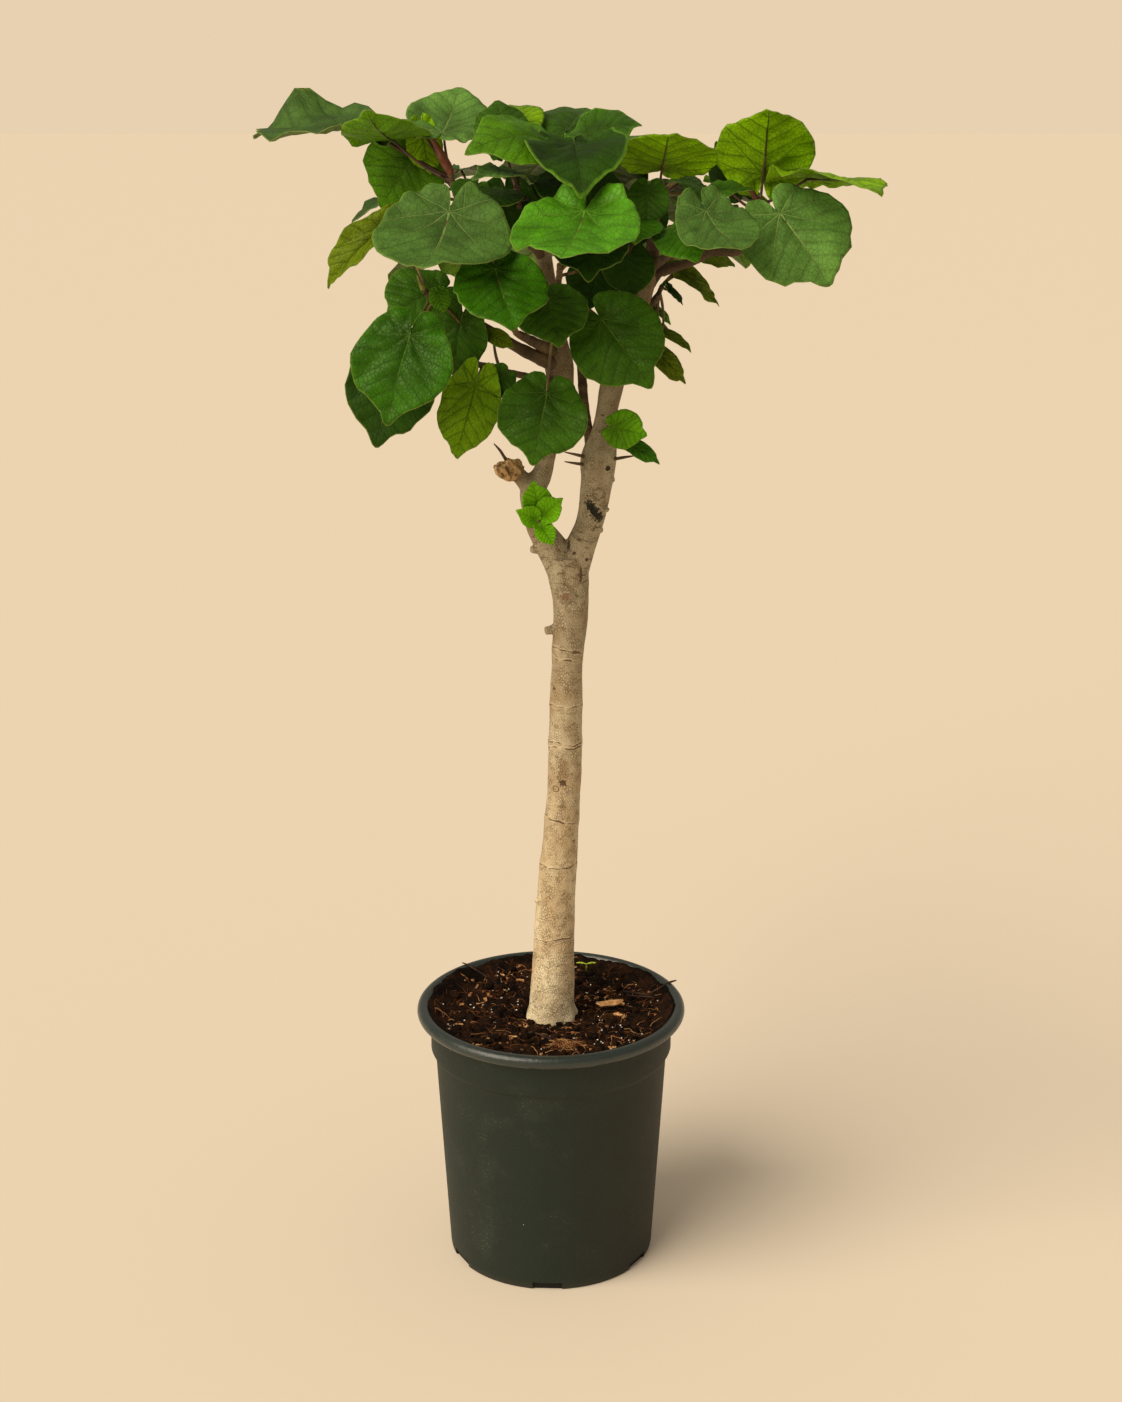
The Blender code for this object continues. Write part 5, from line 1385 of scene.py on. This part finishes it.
SPRAYS = {
    "shoot_back_left": Spray("back_left", (-0.084, 0.108, 1.25), 146, 70, 4, 1),
    "shoot_back_left_low": Spray("back_left_low", (-0.08, 0.1, 1.182), 110, 70, 4, 2),
    "shoot_back_centre": Spray("dark_leader", (0.028, 0.112, 1.19), 92, 76, 4, 3),
    "shoot_back_top": Spray("back_top", (0.03, 0.094, 1.292), 84, 64, 4, 4),
    "shoot_back_right": Spray("back_right", (0.13, 0.104, 1.262), 42, 84, 4, 5),
    "shoot_back_right_low": Spray("back_right_low", (0.16, 0.11, 1.206), 62, 70, 4, 6),
}


@dataclass
class Foliage:
    """All leafy shoots: blades with their veins, stalks with ribs, young stems and buds."""

    effects: Effects
    columns: int = 56
    rings: int = 18
    opening: float = math.radians(178.6)
    thickness: float = 0.0005
    stalk_radius: float = 0.0015
    inset: float = 0.005
    sunk: float = 0.0002
    gap: float = 0.0003
    bud_section: tuple = ((-0.08, 0.5), (0.0, 0.8), (0.15, 1.0), (0.3, 0.97), (0.45, 0.85), (0.62, 0.63),
                          (0.8, 0.38), (0.92, 0.2), (1.0, 0.06))

    def build(self) -> None:
        """Build and dress every shoot."""
        blade = self.effects.dress(
            LeafFinish("leaf_top", specular=0.2),
            LeafFinish("leaf_underside", tone="tone_under", specular=0.15, rib_share=0.8, branch_share=0.45,
                       net_share=0.3, relief=-0.001),
            SkinFinish("leaf_margin", rough=0.5, light=srgb(132, 156, 62), dark=srgb(92, 118, 36),
                       speck=0.0))
        stem, *stalks, red_bud, green_bud = self.effects.dress(
            SkinFinish("young_stem", rough=0.6, light=srgb(104, 82, 46), dark=srgb(62, 44, 24)),
            SkinFinish("leaf_stalk", rough=0.5, light=srgb(112, 100, 44), dark=srgb(80, 58, 26)),
            SkinFinish("red_leaf_stalk", rough=0.45, light=srgb(84, 50, 28), dark=srgb(50, 28, 18)),
            SkinFinish("green_leaf_stalk", rough=0.45, light=srgb(104, 144, 30), dark=srgb(84, 112, 24)),
            SkinFinish("red_bud", rough=0.4, light=srgb(124, 66, 38), dark=srgb(74, 36, 22)),
            SkinFinish("green_bud", rough=0.4, light=srgb(132, 140, 40), dark=srgb(92, 84, 28)))
        shoots = {**SHOOTS, **{name: spray.shoot() for name, spray in SPRAYS.items()}}
        for name, shoot in shoots.items():
            self.build_blades(name, shoot, blade)
            bud = red_bud if shoot.stalk is Stalk.RED else green_bud
            self.build_stalks(name, shoot, [stem, stalks[shoot.stalk.value], bud])

    def build_blades(self, name: str, shoot: Shoot, materials: list[Material]) -> None:
        """The leaf blades of one shoot.

        Args:
            name: The solid that the shoot stands for.
            shoot: The shoot.
            materials: Upper face, underside and margin.
        """
        work = bmesh.new()
        plan = work.loops.layers.uv.new("leaf_plan")
        kinds = work.verts.layers
        layers = [kinds.float_color.new(layer) for layer in ("tone_top", "tone_under", "tone_vein")]
        # rim is each leaf's share of painted highlight along its edge.
        layers += [kinds.float.new(layer) for layer in ("reach", "gloss", "rim")]
        for leaf in shoot.leaves:
            share = 0.6 if leaf.plain() else 1.0
            grid = bmesh.ops.create_grid(work, x_segments=round(share * self.columns),
                                         y_segments=round(share * self.rings), size=0.5)["verts"]
            tone = leaf.tone.value
            # Each leaf's tones, painted lighter or darker by its light.
            tones = [leaf.shaded(colour) for colour in (tone.top, tone.under, tone.vein)]
            faces = {face for vertex in grid for face in vertex.link_faces}
            hub_ring = []
            for vertex in grid:
                share, out = 2 * vertex.co.x, vertex.co.y + 0.5
                away = abs(share)
                eased = 0.72 * away * away * (3.0 - 2.0 * away) + 0.28 * away
                angle = math.copysign(self.opening * eased, share)
                forward, across = leaf.plan(angle, out)
                for loop in vertex.link_loops:
                    loop[plan].uv = (0.5 + 0.5 * across, 0.5 + 0.4 * forward)
                for layer, value in zip(layers, (*tones, out, tone.gloss, leaf.rim)):
                    vertex[layer] = value
                vertex.co = leaf.point(angle, out, 1.0)
                if out < 1e-6:
                    hub_ring.append(vertex)
            smoothed(faces)
            bmesh.ops.remove_doubles(work, verts=hub_ring, dist=MERGE_REACH)
            faces = [face for face in faces if face.is_valid]
            work.normal_update()
            up = leaf.axes()[2]
            if sum(face.normal.dot(up) * face.calc_area() for face in faces) < 0:
                bmesh.ops.reverse_faces(work, faces=faces)
        piece = finished(name + "_blades", work, materials, name)
        skin = piece.modifiers.new("Thickness", "SOLIDIFY")
        skin.thickness = self.thickness
        skin.offset = 0.0
        skin.material_offset = 1
        skin.material_offset_rim = 2

    def stem_route(self, shoot: Shoot) -> Route:
        """The stem's route from its seat at the branch's cut end, as coarse as the solid's."""
        route = smooth_route(BRANCHES[shoot.branch], 2)
        end = Vector(route[-1][:3])
        way = (end - Vector(route[-2][:3])).normalized()
        seat = end + self.gap * way
        points = [(*seat, route[-1][3]), (*(seat + 0.006 * way), shoot.radius)]
        points += [(*point, shoot.radius) for point in shoot.stem]
        return [tuple(points[0])] + smooth_route(points[1:], 2)

    @staticmethod
    def route_point(route: Route, share: float) -> Vector:
        """The point at a share of a route's length."""
        spots = [Vector(p[:3]) for p in route]
        spans = [(b - a).length for a, b in zip(spots, spots[1:])]
        left = share * sum(spans)
        for a, b, span in zip(spots, spots[1:], spans):
            if left <= span:
                return a.lerp(b, left / span)
            left -= span
        return spots[-1]

    def stalk_route(self, leaf: Leaf, root: Vector) -> Route:
        """A leaf stalk's route: a soft curve from the stem to the hub, then along under the midrib.

        Args:
            leaf: The leaf that the stalk carries.
            root: Where the stalk leaves the stem.

        Returns:
            The route.
        """
        along, _, up = leaf.axes()
        seat = leaf.point(0.0, self.inset / leaf.length(), 1.0)
        end = seat - (self.stalk_radius + self.sunk) * up
        reach = (end - root).length
        middle = (root + end) / 2 - 0.12 * reach * (along + up) + Vector(leaf.bend)
        route = []
        for k in range(13):
            t = k / 12
            place = root * (1 - t) ** 2 + middle * (2 * t * (1 - t)) + end * t * t
            foot = 1.0 + 0.35 * hump(t, 0.05) + 0.15 * hump(1 - t, 0.06)
            route.append((*place, self.stalk_radius * (1.3 - 0.45 * t) * foot))
        for k in range(1, 7):
            out = 0.12 + 0.8 * k / 6
            radius = self.stalk_radius * (0.62 - 0.48 * k / 6)
            place = leaf.point(0.0, out, 1.0) - (radius + 0.1 * self.thickness) * up
            route.append((*place, radius))
        return route

    def build_stalks(self, name: str, shoot: Shoot, materials: list[Material]) -> None:
        """The young stem, leaf stalks and buds of one shoot.

        Args:
            name: The solid that the shoot stands for.
            shoot: The shoot.
            materials: Young stem, leaf stalk and bud.
        """
        work = bmesh.new()
        coarse = self.stem_route(shoot)
        fine = []
        for index, (x, y, z, radius) in enumerate(smooth_route(coarse, 8)):
            joint = 0.14 * max(0.0, math.sin(index * 0.9)) ** 6 if index > 8 else 0.0
            fine.append((x, y, z, radius * (1.0 + joint)))
        Sweep(fine, 12).add_to(work, 0)
        for leaf in shoot.leaves:
            root = self.route_point(coarse, 0.12 + 0.85 * leaf.at)
            Sweep(self.stalk_route(leaf, root), 8).add_to(work, 1)
        for bud in shoot.buds:
            base, tip = Vector(bud.base), Vector(bud.tip)
            route = [(*base.lerp(tip, t), bud.radius * share) for t, share in self.bud_section]
            Sweep(route, 12).add_to(work, 2)
        finished(name + "_stalks", work, materials, name)


@dataclass
class Pot:
    """The nursery pot: rolled rim, collar, tapered wall and notched foot ring, turned and cut."""

    effects: Effects
    height: float = 0.317
    rim_radius: float = 0.16
    roll: float = 0.0075
    rim_inner: float = 0.1475
    collar: float = 0.144
    collar_bottom: float = 0.262
    wall_top: float = 0.1386
    base: float = 0.122
    wall: float = 0.0026
    foot: float = 0.012
    base_raise: float = 0.007
    floor_top: float = 0.01
    steps: int = 144
    notch_count: int = 6
    notch_width: float = 0.035
    notch_height: float = 0.0095
    notch_depth: float = 0.0032
    notch_turn: float = math.radians(-92)
    drain_radius: float = 0.006
    drain_ring: float = 0.08
    cutter_depth: float = 0.04

    def inner_radius(self, height: float) -> float:
        """The pot's inner radius at a height: the tapered wall, then the collar."""
        if height < self.collar_bottom:
            share = height / self.collar_bottom
            return self.base + (self.wall_top - self.base) * share - self.wall
        return self.collar - self.wall

    def profile(self) -> list[tuple[float, float]]:
        """The section of the pot as radius and height, from the inner floor over the rim to the foot."""
        rim_centre, rim_level = self.rim_radius - self.roll, self.height - self.roll
        collar, ledge, wall = self.collar, self.collar_bottom, self.wall_top
        inside, under = collar - self.wall, rim_level - self.roll
        base, foot = self.base, self.base - self.foot
        made = [(0.0, self.floor_top), (self.inner_radius(self.floor_top) - 0.002, self.floor_top),
                (self.inner_radius(self.floor_top), self.floor_top + 0.002)]
        made += [(self.inner_radius(h), h) for h in (0.06, 0.12, 0.18, 0.23, ledge - 0.004, ledge)]
        made += [(inside, rim_level - 0.008), (inside + 0.0008, rim_level - 0.001),
                 (self.rim_inner, self.height - 0.0025), (self.rim_inner + 0.0012, self.height - 0.001),
                 (self.rim_inner + 0.003, self.height - 0.0002)]
        for degrees in (80, 62, 45, 28, 12, -4, -20, -36, -52, -66):
            angle = math.radians(degrees)
            made.append((rim_centre + self.roll * math.cos(angle), rim_level + self.roll * math.sin(angle)))
        made += [(rim_centre + 0.0014, under), (rim_centre - 0.001, under + 0.0004),
                 (collar + 0.0035, under + 0.0012), (collar + 0.001, under - 0.0004),
                 (collar, under - 0.003), (collar, 0.284), (collar, ledge + 0.0016),
                 (collar - 0.0006, ledge + 0.0002), (wall + 0.0016, ledge - 0.0042),
                 (wall + 0.0002, ledge - 0.0056), (wall - 0.0002, ledge - 0.008)]
        for height in (0.22, 0.17, 0.12, 0.07, 0.03):
            share = (height - 0.006) / (ledge - 0.012)
            made.append((base + 0.0015 + (wall - base - 0.0015) * share, height))
        made += [(base + 0.0015, 0.006), (base + 0.0008, 0.0015), (base - 0.0006, 0.0), (foot + 0.0006, 0.0),
                 (foot, 0.001), (foot - 0.003, self.base_raise), (0.0, self.base_raise)]
        return made

    def cutters(self) -> Piece:
        """The blocks and rods that cut the foot's notches and the drain holes, as one object."""
        work = bmesh.new()
        reach = self.base - self.notch_depth + self.cutter_depth / 2
        for k in range(self.notch_count):
            angle = self.notch_turn + 2 * math.pi * k / self.notch_count
            block = bmesh.ops.create_cube(work, size=1.0)["verts"]
            bmesh.ops.scale(work, vec=(self.cutter_depth, self.notch_width, 2 * self.notch_height),
                            verts=block)
            rod = bmesh.ops.create_cone(work, cap_ends=True, segments=24, radius1=self.drain_radius,
                                        radius2=self.drain_radius, depth=2 * self.floor_top)["verts"]
            half_way = angle + math.pi / self.notch_count
            for verts, turn, out, up in ((block, angle, reach, 0.0),
                                         (rod, half_way, self.drain_ring, self.floor_top)):
                place = Matrix.Rotation(turn, 4, "Z") @ Matrix.Translation((out, 0.0, up))
                bmesh.ops.transform(work, matrix=place, verts=verts)
        return placed("pot_cutters", poured("pot_cutters", work))

    def build(self) -> None:
        """Turn the pot, cut its foot and dress it."""
        work = bmesh.new()
        turned(work, self.profile(), self.steps)
        bmesh.ops.recalc_face_normals(work, faces=work.faces)
        plastic = self.effects.dress(PlasticFinish("pot_plastic", rough=0.6, specular=0.35))
        piece = finished("pot_shell", work, plastic, "pot")
        cutter = self.cutters()
        cut = piece.modifiers.new("Foot notches and drains", "BOOLEAN")
        cut.operation = "DIFFERENCE"
        cut.object = cutter
        cut.solver = "EXACT"
        settled(piece)
        bpy.data.objects.remove(cutter, do_unlink=True)
        piece.data.shade_smooth()
        piece.data.set_sharp_from_angle(angle=math.radians(38))


# Loose twigs on the soil: each point is x, y, z and radius. The first two lie over the rim.
LOOSE_TWIGS = (
    [(-0.078, 0.094, 0.306, 0.001), (-0.092, 0.101, 0.3125, 0.0011), (-0.1035, 0.1075, 0.3172, 0.0011),
     (-0.111, 0.112, 0.3185, 0.0007)],
    [(0.12, 0.046, 0.306, 0.0013), (0.134, 0.05, 0.3125, 0.0016), (0.1445, 0.053, 0.3178, 0.0015),
     (0.153, 0.056, 0.3192, 0.0008)],
    [(0.086, 0.05, 0.3075, 0.0012), (0.104, 0.04, 0.3095, 0.0013), (0.123, 0.034, 0.3085, 0.0009)],
    [(0.092, 0.036, 0.308, 0.0009), (0.112, 0.031, 0.309, 0.001), (0.128, 0.03, 0.3075, 0.0007)],
    [(-0.03, -0.062, 0.305, 0.0011), (-0.012, -0.076, 0.3085, 0.0013), (0.004, -0.092, 0.307, 0.001)],
)


@dataclass
class SoilBed:
    """The potting soil with its clods, coir fibres, perlite grains, dry leaf bits, twigs and a seedling."""

    effects: Effects
    pot: Pot
    top: float = 0.305
    dip: float = 0.008
    dip_reach: float = 0.05
    hole_floor: float = 0.2
    hole_radius: float = 0.029
    gap: float = 0.0003
    bump: float = 0.0036
    heap_from: float = 0.12
    heap_to: float = 0.143
    heap_height: float = 0.013
    funnel_level: float = 0.303
    funnel_slope: float = 0.47
    side_level: float = 0.3005
    side_gap: float = 0.0004
    front_sunk: float = 0.002
    crumb: float = 0.0042
    grit: float = 0.0016
    steps: int = 180
    rings: int = 52
    clods: int = 150
    foot_clods: int = 34
    fibres: int = 640
    clump: tuple = (0.017, -0.104)
    clump_fibres: int = 95
    perlite: int = 120
    chips: int = 110
    flakes: int = 26
    flake_thickness: float = 0.0005
    seedling_foot: Triple = (0.0435, 0.113, 0.305)
    seedling_head: Triple = (0.0435, 0.112, 0.3155)

    def level(self, x: float, y: float) -> float:
        """The height of the rough surface at a place."""
        reach = math.hypot(x, y)
        height = self.top - self.dip * max(0.0, 1.0 - (reach - self.hole_radius) / self.dip_reach) ** 2
        spot = Vector((x, y, 0.0))
        height += self.bump * noise.noise(28.0 * spot) + 0.5 * self.bump * noise.noise(87.0 * spot)
        height += self.crumb * (abs(noise.noise(70.0 * spot)) - 0.2) + self.grit * noise.noise(190.0 * spot)
        return height + self.heap(x, y)

    def heap(self, x: float, y: float) -> float:
        """How far the soil is heaped against the rim's funnel: high at the back and sides, none in front."""
        reach = math.hypot(x, y)
        near = min(1.0, max(0.0, (reach - self.heap_from) / (self.heap_to - self.heap_from)))
        back = min(1.0, max(0.0, 1.0 + y / max(reach, self.heap_from)))
        return near * near * (self.heap_height * back - self.front_sunk * (1.0 - back))

    def laid(self, name: str, work: BMesh, *finishes: Finish) -> Piece:
        """A finished piece that stands for the soil."""
        return finished(name, work, self.effects.dress(*finishes), "soil")

    def build(self) -> None:
        """Build and dress the soil and all that lies on it."""
        self.build_plug()
        self.build_fibres()
        self.build_grains()
        self.build_litter()
        self.build_seedling()

    def build_plug(self) -> None:
        """The plug of soil, turned with a fine top, and the clods on it."""
        ledge, hole = self.pot.collar_bottom - 0.004, self.hole_radius
        bottom, shoulder = self.pot.floor_top + self.gap, ledge - self.gap
        rim = self.pot.inner_radius(self.top) - self.side_gap
        section = [(0.0, self.hole_floor - self.gap), (hole, self.hole_floor - self.gap), (hole, 0.25)]
        section += [(hole + (rim - hole) * k / self.rings, self.top) for k in range(self.rings + 1)]
        section += [(rim, self.side_level), (rim, self.pot.collar_bottom + 0.001),
                    (self.pot.inner_radius(shoulder) - 2 * self.side_gap, ledge),
                    (self.pot.inner_radius(bottom) - self.side_gap, bottom), (0.0, bottom)]
        work = bmesh.new()
        turned(work, section, self.steps)
        for vertex in work.verts:
            flat = Vector((vertex.co.x, vertex.co.y, 0.0))
            if vertex.co.z > self.top - 0.001:
                vertex.co.z = self.level(flat.x, flat.y)
                spread = max(0.0, vertex.co.z - self.funnel_level) * self.funnel_slope
                if flat.length > self.heap_from:
                    flare = flat.normalized() * spread * (flat.length - self.heap_from)
                    vertex.co += flare / (rim - self.heap_from)
            elif vertex.co.z > self.side_level - 0.001:
                vertex.co.z = min(self.side_level, self.level(flat.x, flat.y) - 0.002)
        bmesh.ops.recalc_face_normals(work, faces=work.faces)
        draw = random.Random(SEED + 40)
        for _ in range(self.clods):
            radius = draw.uniform(0.0022, 0.0062)
            self.add_lump(work, draw, self.scatter(draw, 0.006 + radius), radius, 2)
        for _ in range(self.foot_clods):
            turn, reach = draw.uniform(0, 2 * math.pi), hole + draw.uniform(0.0005, 0.007)
            place = (reach * math.cos(turn), reach * math.sin(turn))
            self.add_lump(work, draw, place, draw.uniform(0.002, 0.005), 2)
        smoothed(work.faces)
        self.laid("soil_bed", work, EarthFinish("potting_soil", rough=0.9, specular=0.08))

    def scatter(self, draw: random.Random, margin: float = 0.01) -> tuple[float, float]:
        """A seeded place on the open soil, spread evenly between trunk and wall."""
        inner, outer = self.hole_radius + 0.006, self.pot.collar - self.pot.wall - margin
        reach = math.sqrt(draw.uniform(inner * inner, outer * outer))
        angle = draw.uniform(0, 2 * math.pi)
        return reach * math.cos(angle), reach * math.sin(angle)

    def add_lump(self, work: BMesh, draw: random.Random, place: tuple[float, float], radius: float,
                 fineness: int) -> None:
        """Add one uneven lump, sunk halfway into the surface.

        Args:
            work: The mesh to build in.
            draw: The seeded source of numbers.
            place: Where it lies.
            radius: The lump's radius.
            fineness: The subdivisions of its ball.
        """
        x, y = place
        ball = bmesh.ops.create_icosphere(work, subdivisions=fineness, radius=radius)["verts"]
        offset = Vector((draw.uniform(0, 9), draw.uniform(0, 9), draw.uniform(0, 9)))
        flat = draw.uniform(0.55, 0.9)
        for vertex in ball:
            swell = 1.0 + 0.55 * noise.noise(vertex.co * (1.6 / radius) + offset)
            vertex.co = vertex.co * swell
            vertex.co.z *= flat
        bmesh.ops.translate(work, vec=(x, y, self.level(x, y) + 0.15 * radius), verts=ball)

    def lying_route(self, draw: random.Random, x: float, y: float, length: float, radius: float) -> Route:
        """A loose curved fibre that lies on the surface.

        Args:
            draw: The seeded source of numbers.
            x: Where its middle is.
            y: Where its middle is.
            length: The fibre's length.
            radius: The fibre's radius.

        Returns:
            The fibre's route.
        """
        heading = draw.uniform(0, 2 * math.pi)
        turn = draw.uniform(-1.3, 1.3)
        hop = draw.uniform(0.0003, 0.003)
        steps = 5
        x -= 0.5 * length * math.cos(heading)
        y -= 0.5 * length * math.sin(heading)
        limit = self.pot.collar - self.pot.wall - 0.002
        route = []
        for k in range(steps + 1):
            t = k / steps
            reach = math.hypot(x, y)
            shrink = min(1.0, limit / reach)
            lift = self.level(x * shrink, y * shrink) + hop * math.sin(math.pi * t) + 0.4 * radius
            route.append((x * shrink, y * shrink, lift, radius * (1.0 - 0.55 * t)))
            heading += turn / steps + draw.uniform(-0.22, 0.22)
            x += length / steps * math.cos(heading)
            y += length / steps * math.sin(heading)
        return route

    def build_fibres(self) -> None:
        """Reddish coir fibres and paler straw bits over the soil, and the coir clump at the front."""
        work = bmesh.new()
        draw = random.Random(SEED + 50)
        for index in range(self.fibres):
            x, y = self.scatter(draw, 0.004)
            length = draw.uniform(0.006, 0.024)
            route = self.lying_route(draw, x, y, length, draw.uniform(0.0002, 0.0005))
            Sweep(route, 4).add_to(work, 1 if index % 6 == 0 else 0)
        for index in range(self.clump_fibres):
            x, y = self.clump[0] + draw.gauss(0, 0.008), self.clump[1] + draw.gauss(0, 0.006)
            route = self.lying_route(draw, x, y, draw.uniform(0.008, 0.02), draw.uniform(0.0002, 0.0005))
            lift = draw.uniform(0.0, 0.005)
            route = [(a, b, c + lift, radius) for a, b, c, radius in route]
            Sweep(route, 4).add_to(work, 1 if index % 3 else 0)
        self.laid(
            "soil_fibres", work,
            SkinFinish("coir_fibre", rough=0.85, specular=0.1, light=srgb(122, 76, 42),
                       dark=srgb(66, 38, 22)),
            SkinFinish("straw_bit", rough=0.75, specular=0.25, light=srgb(206, 156, 100),
                       dark=srgb(150, 100, 58)))

    def build_grains(self) -> None:
        """White perlite grains and small bark chips."""
        draw = random.Random(SEED + 60)
        perlite = SkinFinish("perlite", rough=0.7, specular=0.4, light=srgb(246, 244, 236),
                             dark=srgb(214, 208, 194), speck=0.05)
        chip = SkinFinish("bark_chip", rough=0.8, specular=0.2, light=srgb(170, 118, 74),
                          dark=srgb(96, 60, 36))
        for name, count, least, most, finish in (("soil_perlite", self.perlite, 0.0005, 0.0013, perlite),
                                                 ("soil_chips", self.chips, 0.0009, 0.003, chip)):
            work = bmesh.new()
            for _ in range(count):
                self.add_lump(work, draw, self.scatter(draw), draw.uniform(least, most), 1)
            self.laid(name, work, finish)

    def add_flake(self, work: BMesh, centre: Vector, size: tuple[float, float], turn: float, curl: float
                  ) -> None:
        """Add one thin curled flake with a ragged edge.

        Args:
            work: The mesh to build in.
            centre: The flake's middle.
            size: Its length and width.
            turn: Its heading, in radians.
            curl: How far its long sides rise.
        """
        verts = bmesh.ops.create_grid(work, x_segments=10, y_segments=6, size=0.5)["verts"]
        for vertex in verts:
            x, y = vertex.co.x, vertex.co.y
            ragged = 1.0 + 0.5 * noise.noise(Vector((3 * x + turn, 5 * y, centre.x * 90)))
            width = math.sqrt(max(0.04, 1.0 - (1.9 * x) ** 2)) * ragged
            lift = curl * (4 * y * y - 0.3) + 0.0012 * noise.noise(Vector((4 * x, 4 * y, turn)))
            vertex.co = Vector((x * size[0] * ragged, y * size[1] * width, lift))
        bmesh.ops.rotate(work, cent=ORIGIN, matrix=Matrix.Rotation(turn, 3, "Z"), verts=verts)
        bmesh.ops.translate(work, vec=centre, verts=verts)

    def build_litter(self) -> None:
        """The dry leaf piece, smaller flakes, and the twigs that lie over the rim."""
        flakes, twigs = bmesh.new(), bmesh.new()
        for x, y, raised, size, turn, curl in ((0.073, 0.004, 0.003, (0.03, 0.012), 0.25, 0.004),
                                               (0.08, -0.016, 0.0015, (0.01, 0.006), -0.5, 0.002)):
            self.add_flake(flakes, Vector((x, y, self.level(x, y) + raised)), size, turn, curl)
        draw = random.Random(SEED + 70)
        for _ in range(self.flakes):
            x, y = self.scatter(draw)
            size = (draw.uniform(0.004, 0.011), draw.uniform(0.0018, 0.0042))
            centre = Vector((x, y, self.level(x, y) + 0.0009))
            self.add_flake(flakes, centre, size, draw.uniform(0, 6.2), 0.0008)
        smoothed(flakes.faces)
        piece = self.laid("soil_flakes", flakes, SkinFinish(
            "dry_leaf", rough=0.7, specular=0.3, light=srgb(222, 178, 122), dark=srgb(168, 118, 70),
            coarse=160.0, relief=0.001))
        piece.modifiers.new("Thickness", "SOLIDIFY").thickness = self.flake_thickness
        for route in LOOSE_TWIGS:
            Sweep(smooth_route(route, 5), 7).add_to(twigs)
        self.laid("soil_twigs", twigs, SkinFinish(
            "twig", rough=0.75, specular=0.25, light=srgb(74, 54, 38), dark=srgb(34, 24, 18)))

    def build_seedling(self) -> None:
        """The tiny yellow-green seedling behind the trunk."""
        work = bmesh.new()
        foot, head = Vector(self.seedling_foot), Vector(self.seedling_head)
        Sweep([(*foot, 0.0006), (*foot.lerp(head, 0.5), 0.0005), (*head, 0.0005)], 6).add_to(work)
        for side in (-1.0, 1.0):
            tip = head + Vector((side * 0.0125, 0.001, 0.0022))
            middle = head.lerp(tip, 0.5) + Vector((0.0, 0.0, 0.0016))
            route = smooth_route([(*head, 0.0006), (*middle, 0.0019), (*tip, 0.0005)], 5)
            blade = Sweep(route, 8).add_to(work)
            for vertex in blade:
                vertex.co.z = middle.z + 0.55 * (vertex.co.z - middle.z)
        self.laid("soil_seedling", work, SkinFinish(
            "seedling", rough=0.45, light=srgb(200, 222, 60), dark=srgb(150, 186, 40), speck=0.0))


@dataclass
class Studio:
    """Floor, soft light and the camera at the photograph's viewing angle."""

    place: Triple = (0.012, -2.4282, 1.4043)
    pitch: float = math.radians(16.36)
    lens: float = 56.49
    sensor: float = 36.0
    sight: float = 200.0
    floor_size: float = 80.0
    floor_colour: tuple = srgb(240, 228, 208)
    air_colour: tuple = srgb(255, 240, 220)
    air_light: float = 0.38
    air_shown: tuple = srgb(232, 209, 176)
    key_from: Triple = (-0.95, -0.75, 1.0)
    key_power: float = 2.95
    key_spread: float = math.radians(52)

    def build(self) -> None:
        """Set up floor, light and camera."""
        self.build_floor()
        self.build_air()
        self.build_key()
        self.build_camera()
        bpy.context.scene.view_settings.view_transform = "Standard"

    def build_floor(self) -> None:
        """The plain pale floor."""
        work = bmesh.new()
        bmesh.ops.create_grid(work, x_segments=1, y_segments=1, size=self.floor_size / 2)
        material, graph, shader, _ = Finish("floor", rough=0.9, specular=0.1).start()
        graph.feed(shader.inputs["Base Color"], self.floor_colour)
        floor = placed("floor", poured("floor", work))
        floor.data.materials.append(material)

    def build_air(self) -> None:
        """The even light all round, and the pale backdrop that it is seen as."""
        world = bpy.data.worlds.new("air")
        world.use_nodes = True
        g = Graph(world.node_tree)
        light = world.node_tree.nodes["Background"]
        light.inputs["Color"].default_value = self.air_colour
        light.inputs["Strength"].default_value = self.air_light
        shown = g.add("Background", {"Color": self.air_shown, "Strength": 1.0})
        seen = g.add("LightPath").outputs["Is Camera Ray"]
        mixed = g.add("MixShader", {0: seen, 1: light.outputs[0], 2: shown.outputs[0]})
        g.feed(world.node_tree.nodes["World Output"].inputs["Surface"], mixed.outputs[0])
        bpy.context.scene.world = world

    def build_key(self) -> None:
        """The soft key light from the upper left."""
        lamp = bpy.data.lights.new("key", "SUN")
        lamp.energy = self.key_power
        lamp.angle = self.key_spread
        lamp.color = self.air_colour[:3]
        placed("key", lamp).rotation_euler = Vector(self.key_from).to_track_quat("Z", "Y").to_euler()

    def build_camera(self) -> None:
        """The camera, level and looking a little down."""
        camera = bpy.data.cameras.new("camera")
        camera.lens = self.lens
        camera.sensor_width = self.sensor
        camera.clip_end = self.sight
        holder = placed("camera", camera)
        holder.location = self.place
        holder.rotation_euler = (math.pi / 2 - self.pitch, 0.0, 0.0)
        bpy.context.scene.camera = holder


def main() -> None:
    """Build every sub-assembly."""
    logging.basicConfig(level=logging.INFO, format="%(message)s")
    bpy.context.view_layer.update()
    effects = Effects()
    Studio().build()
    pot = Pot(effects)
    pot.build()
    SoilBed(effects, pot).build()
    Woodwork(effects).build()
    Foliage(effects).build()


if __name__ == "__main__":
    main()
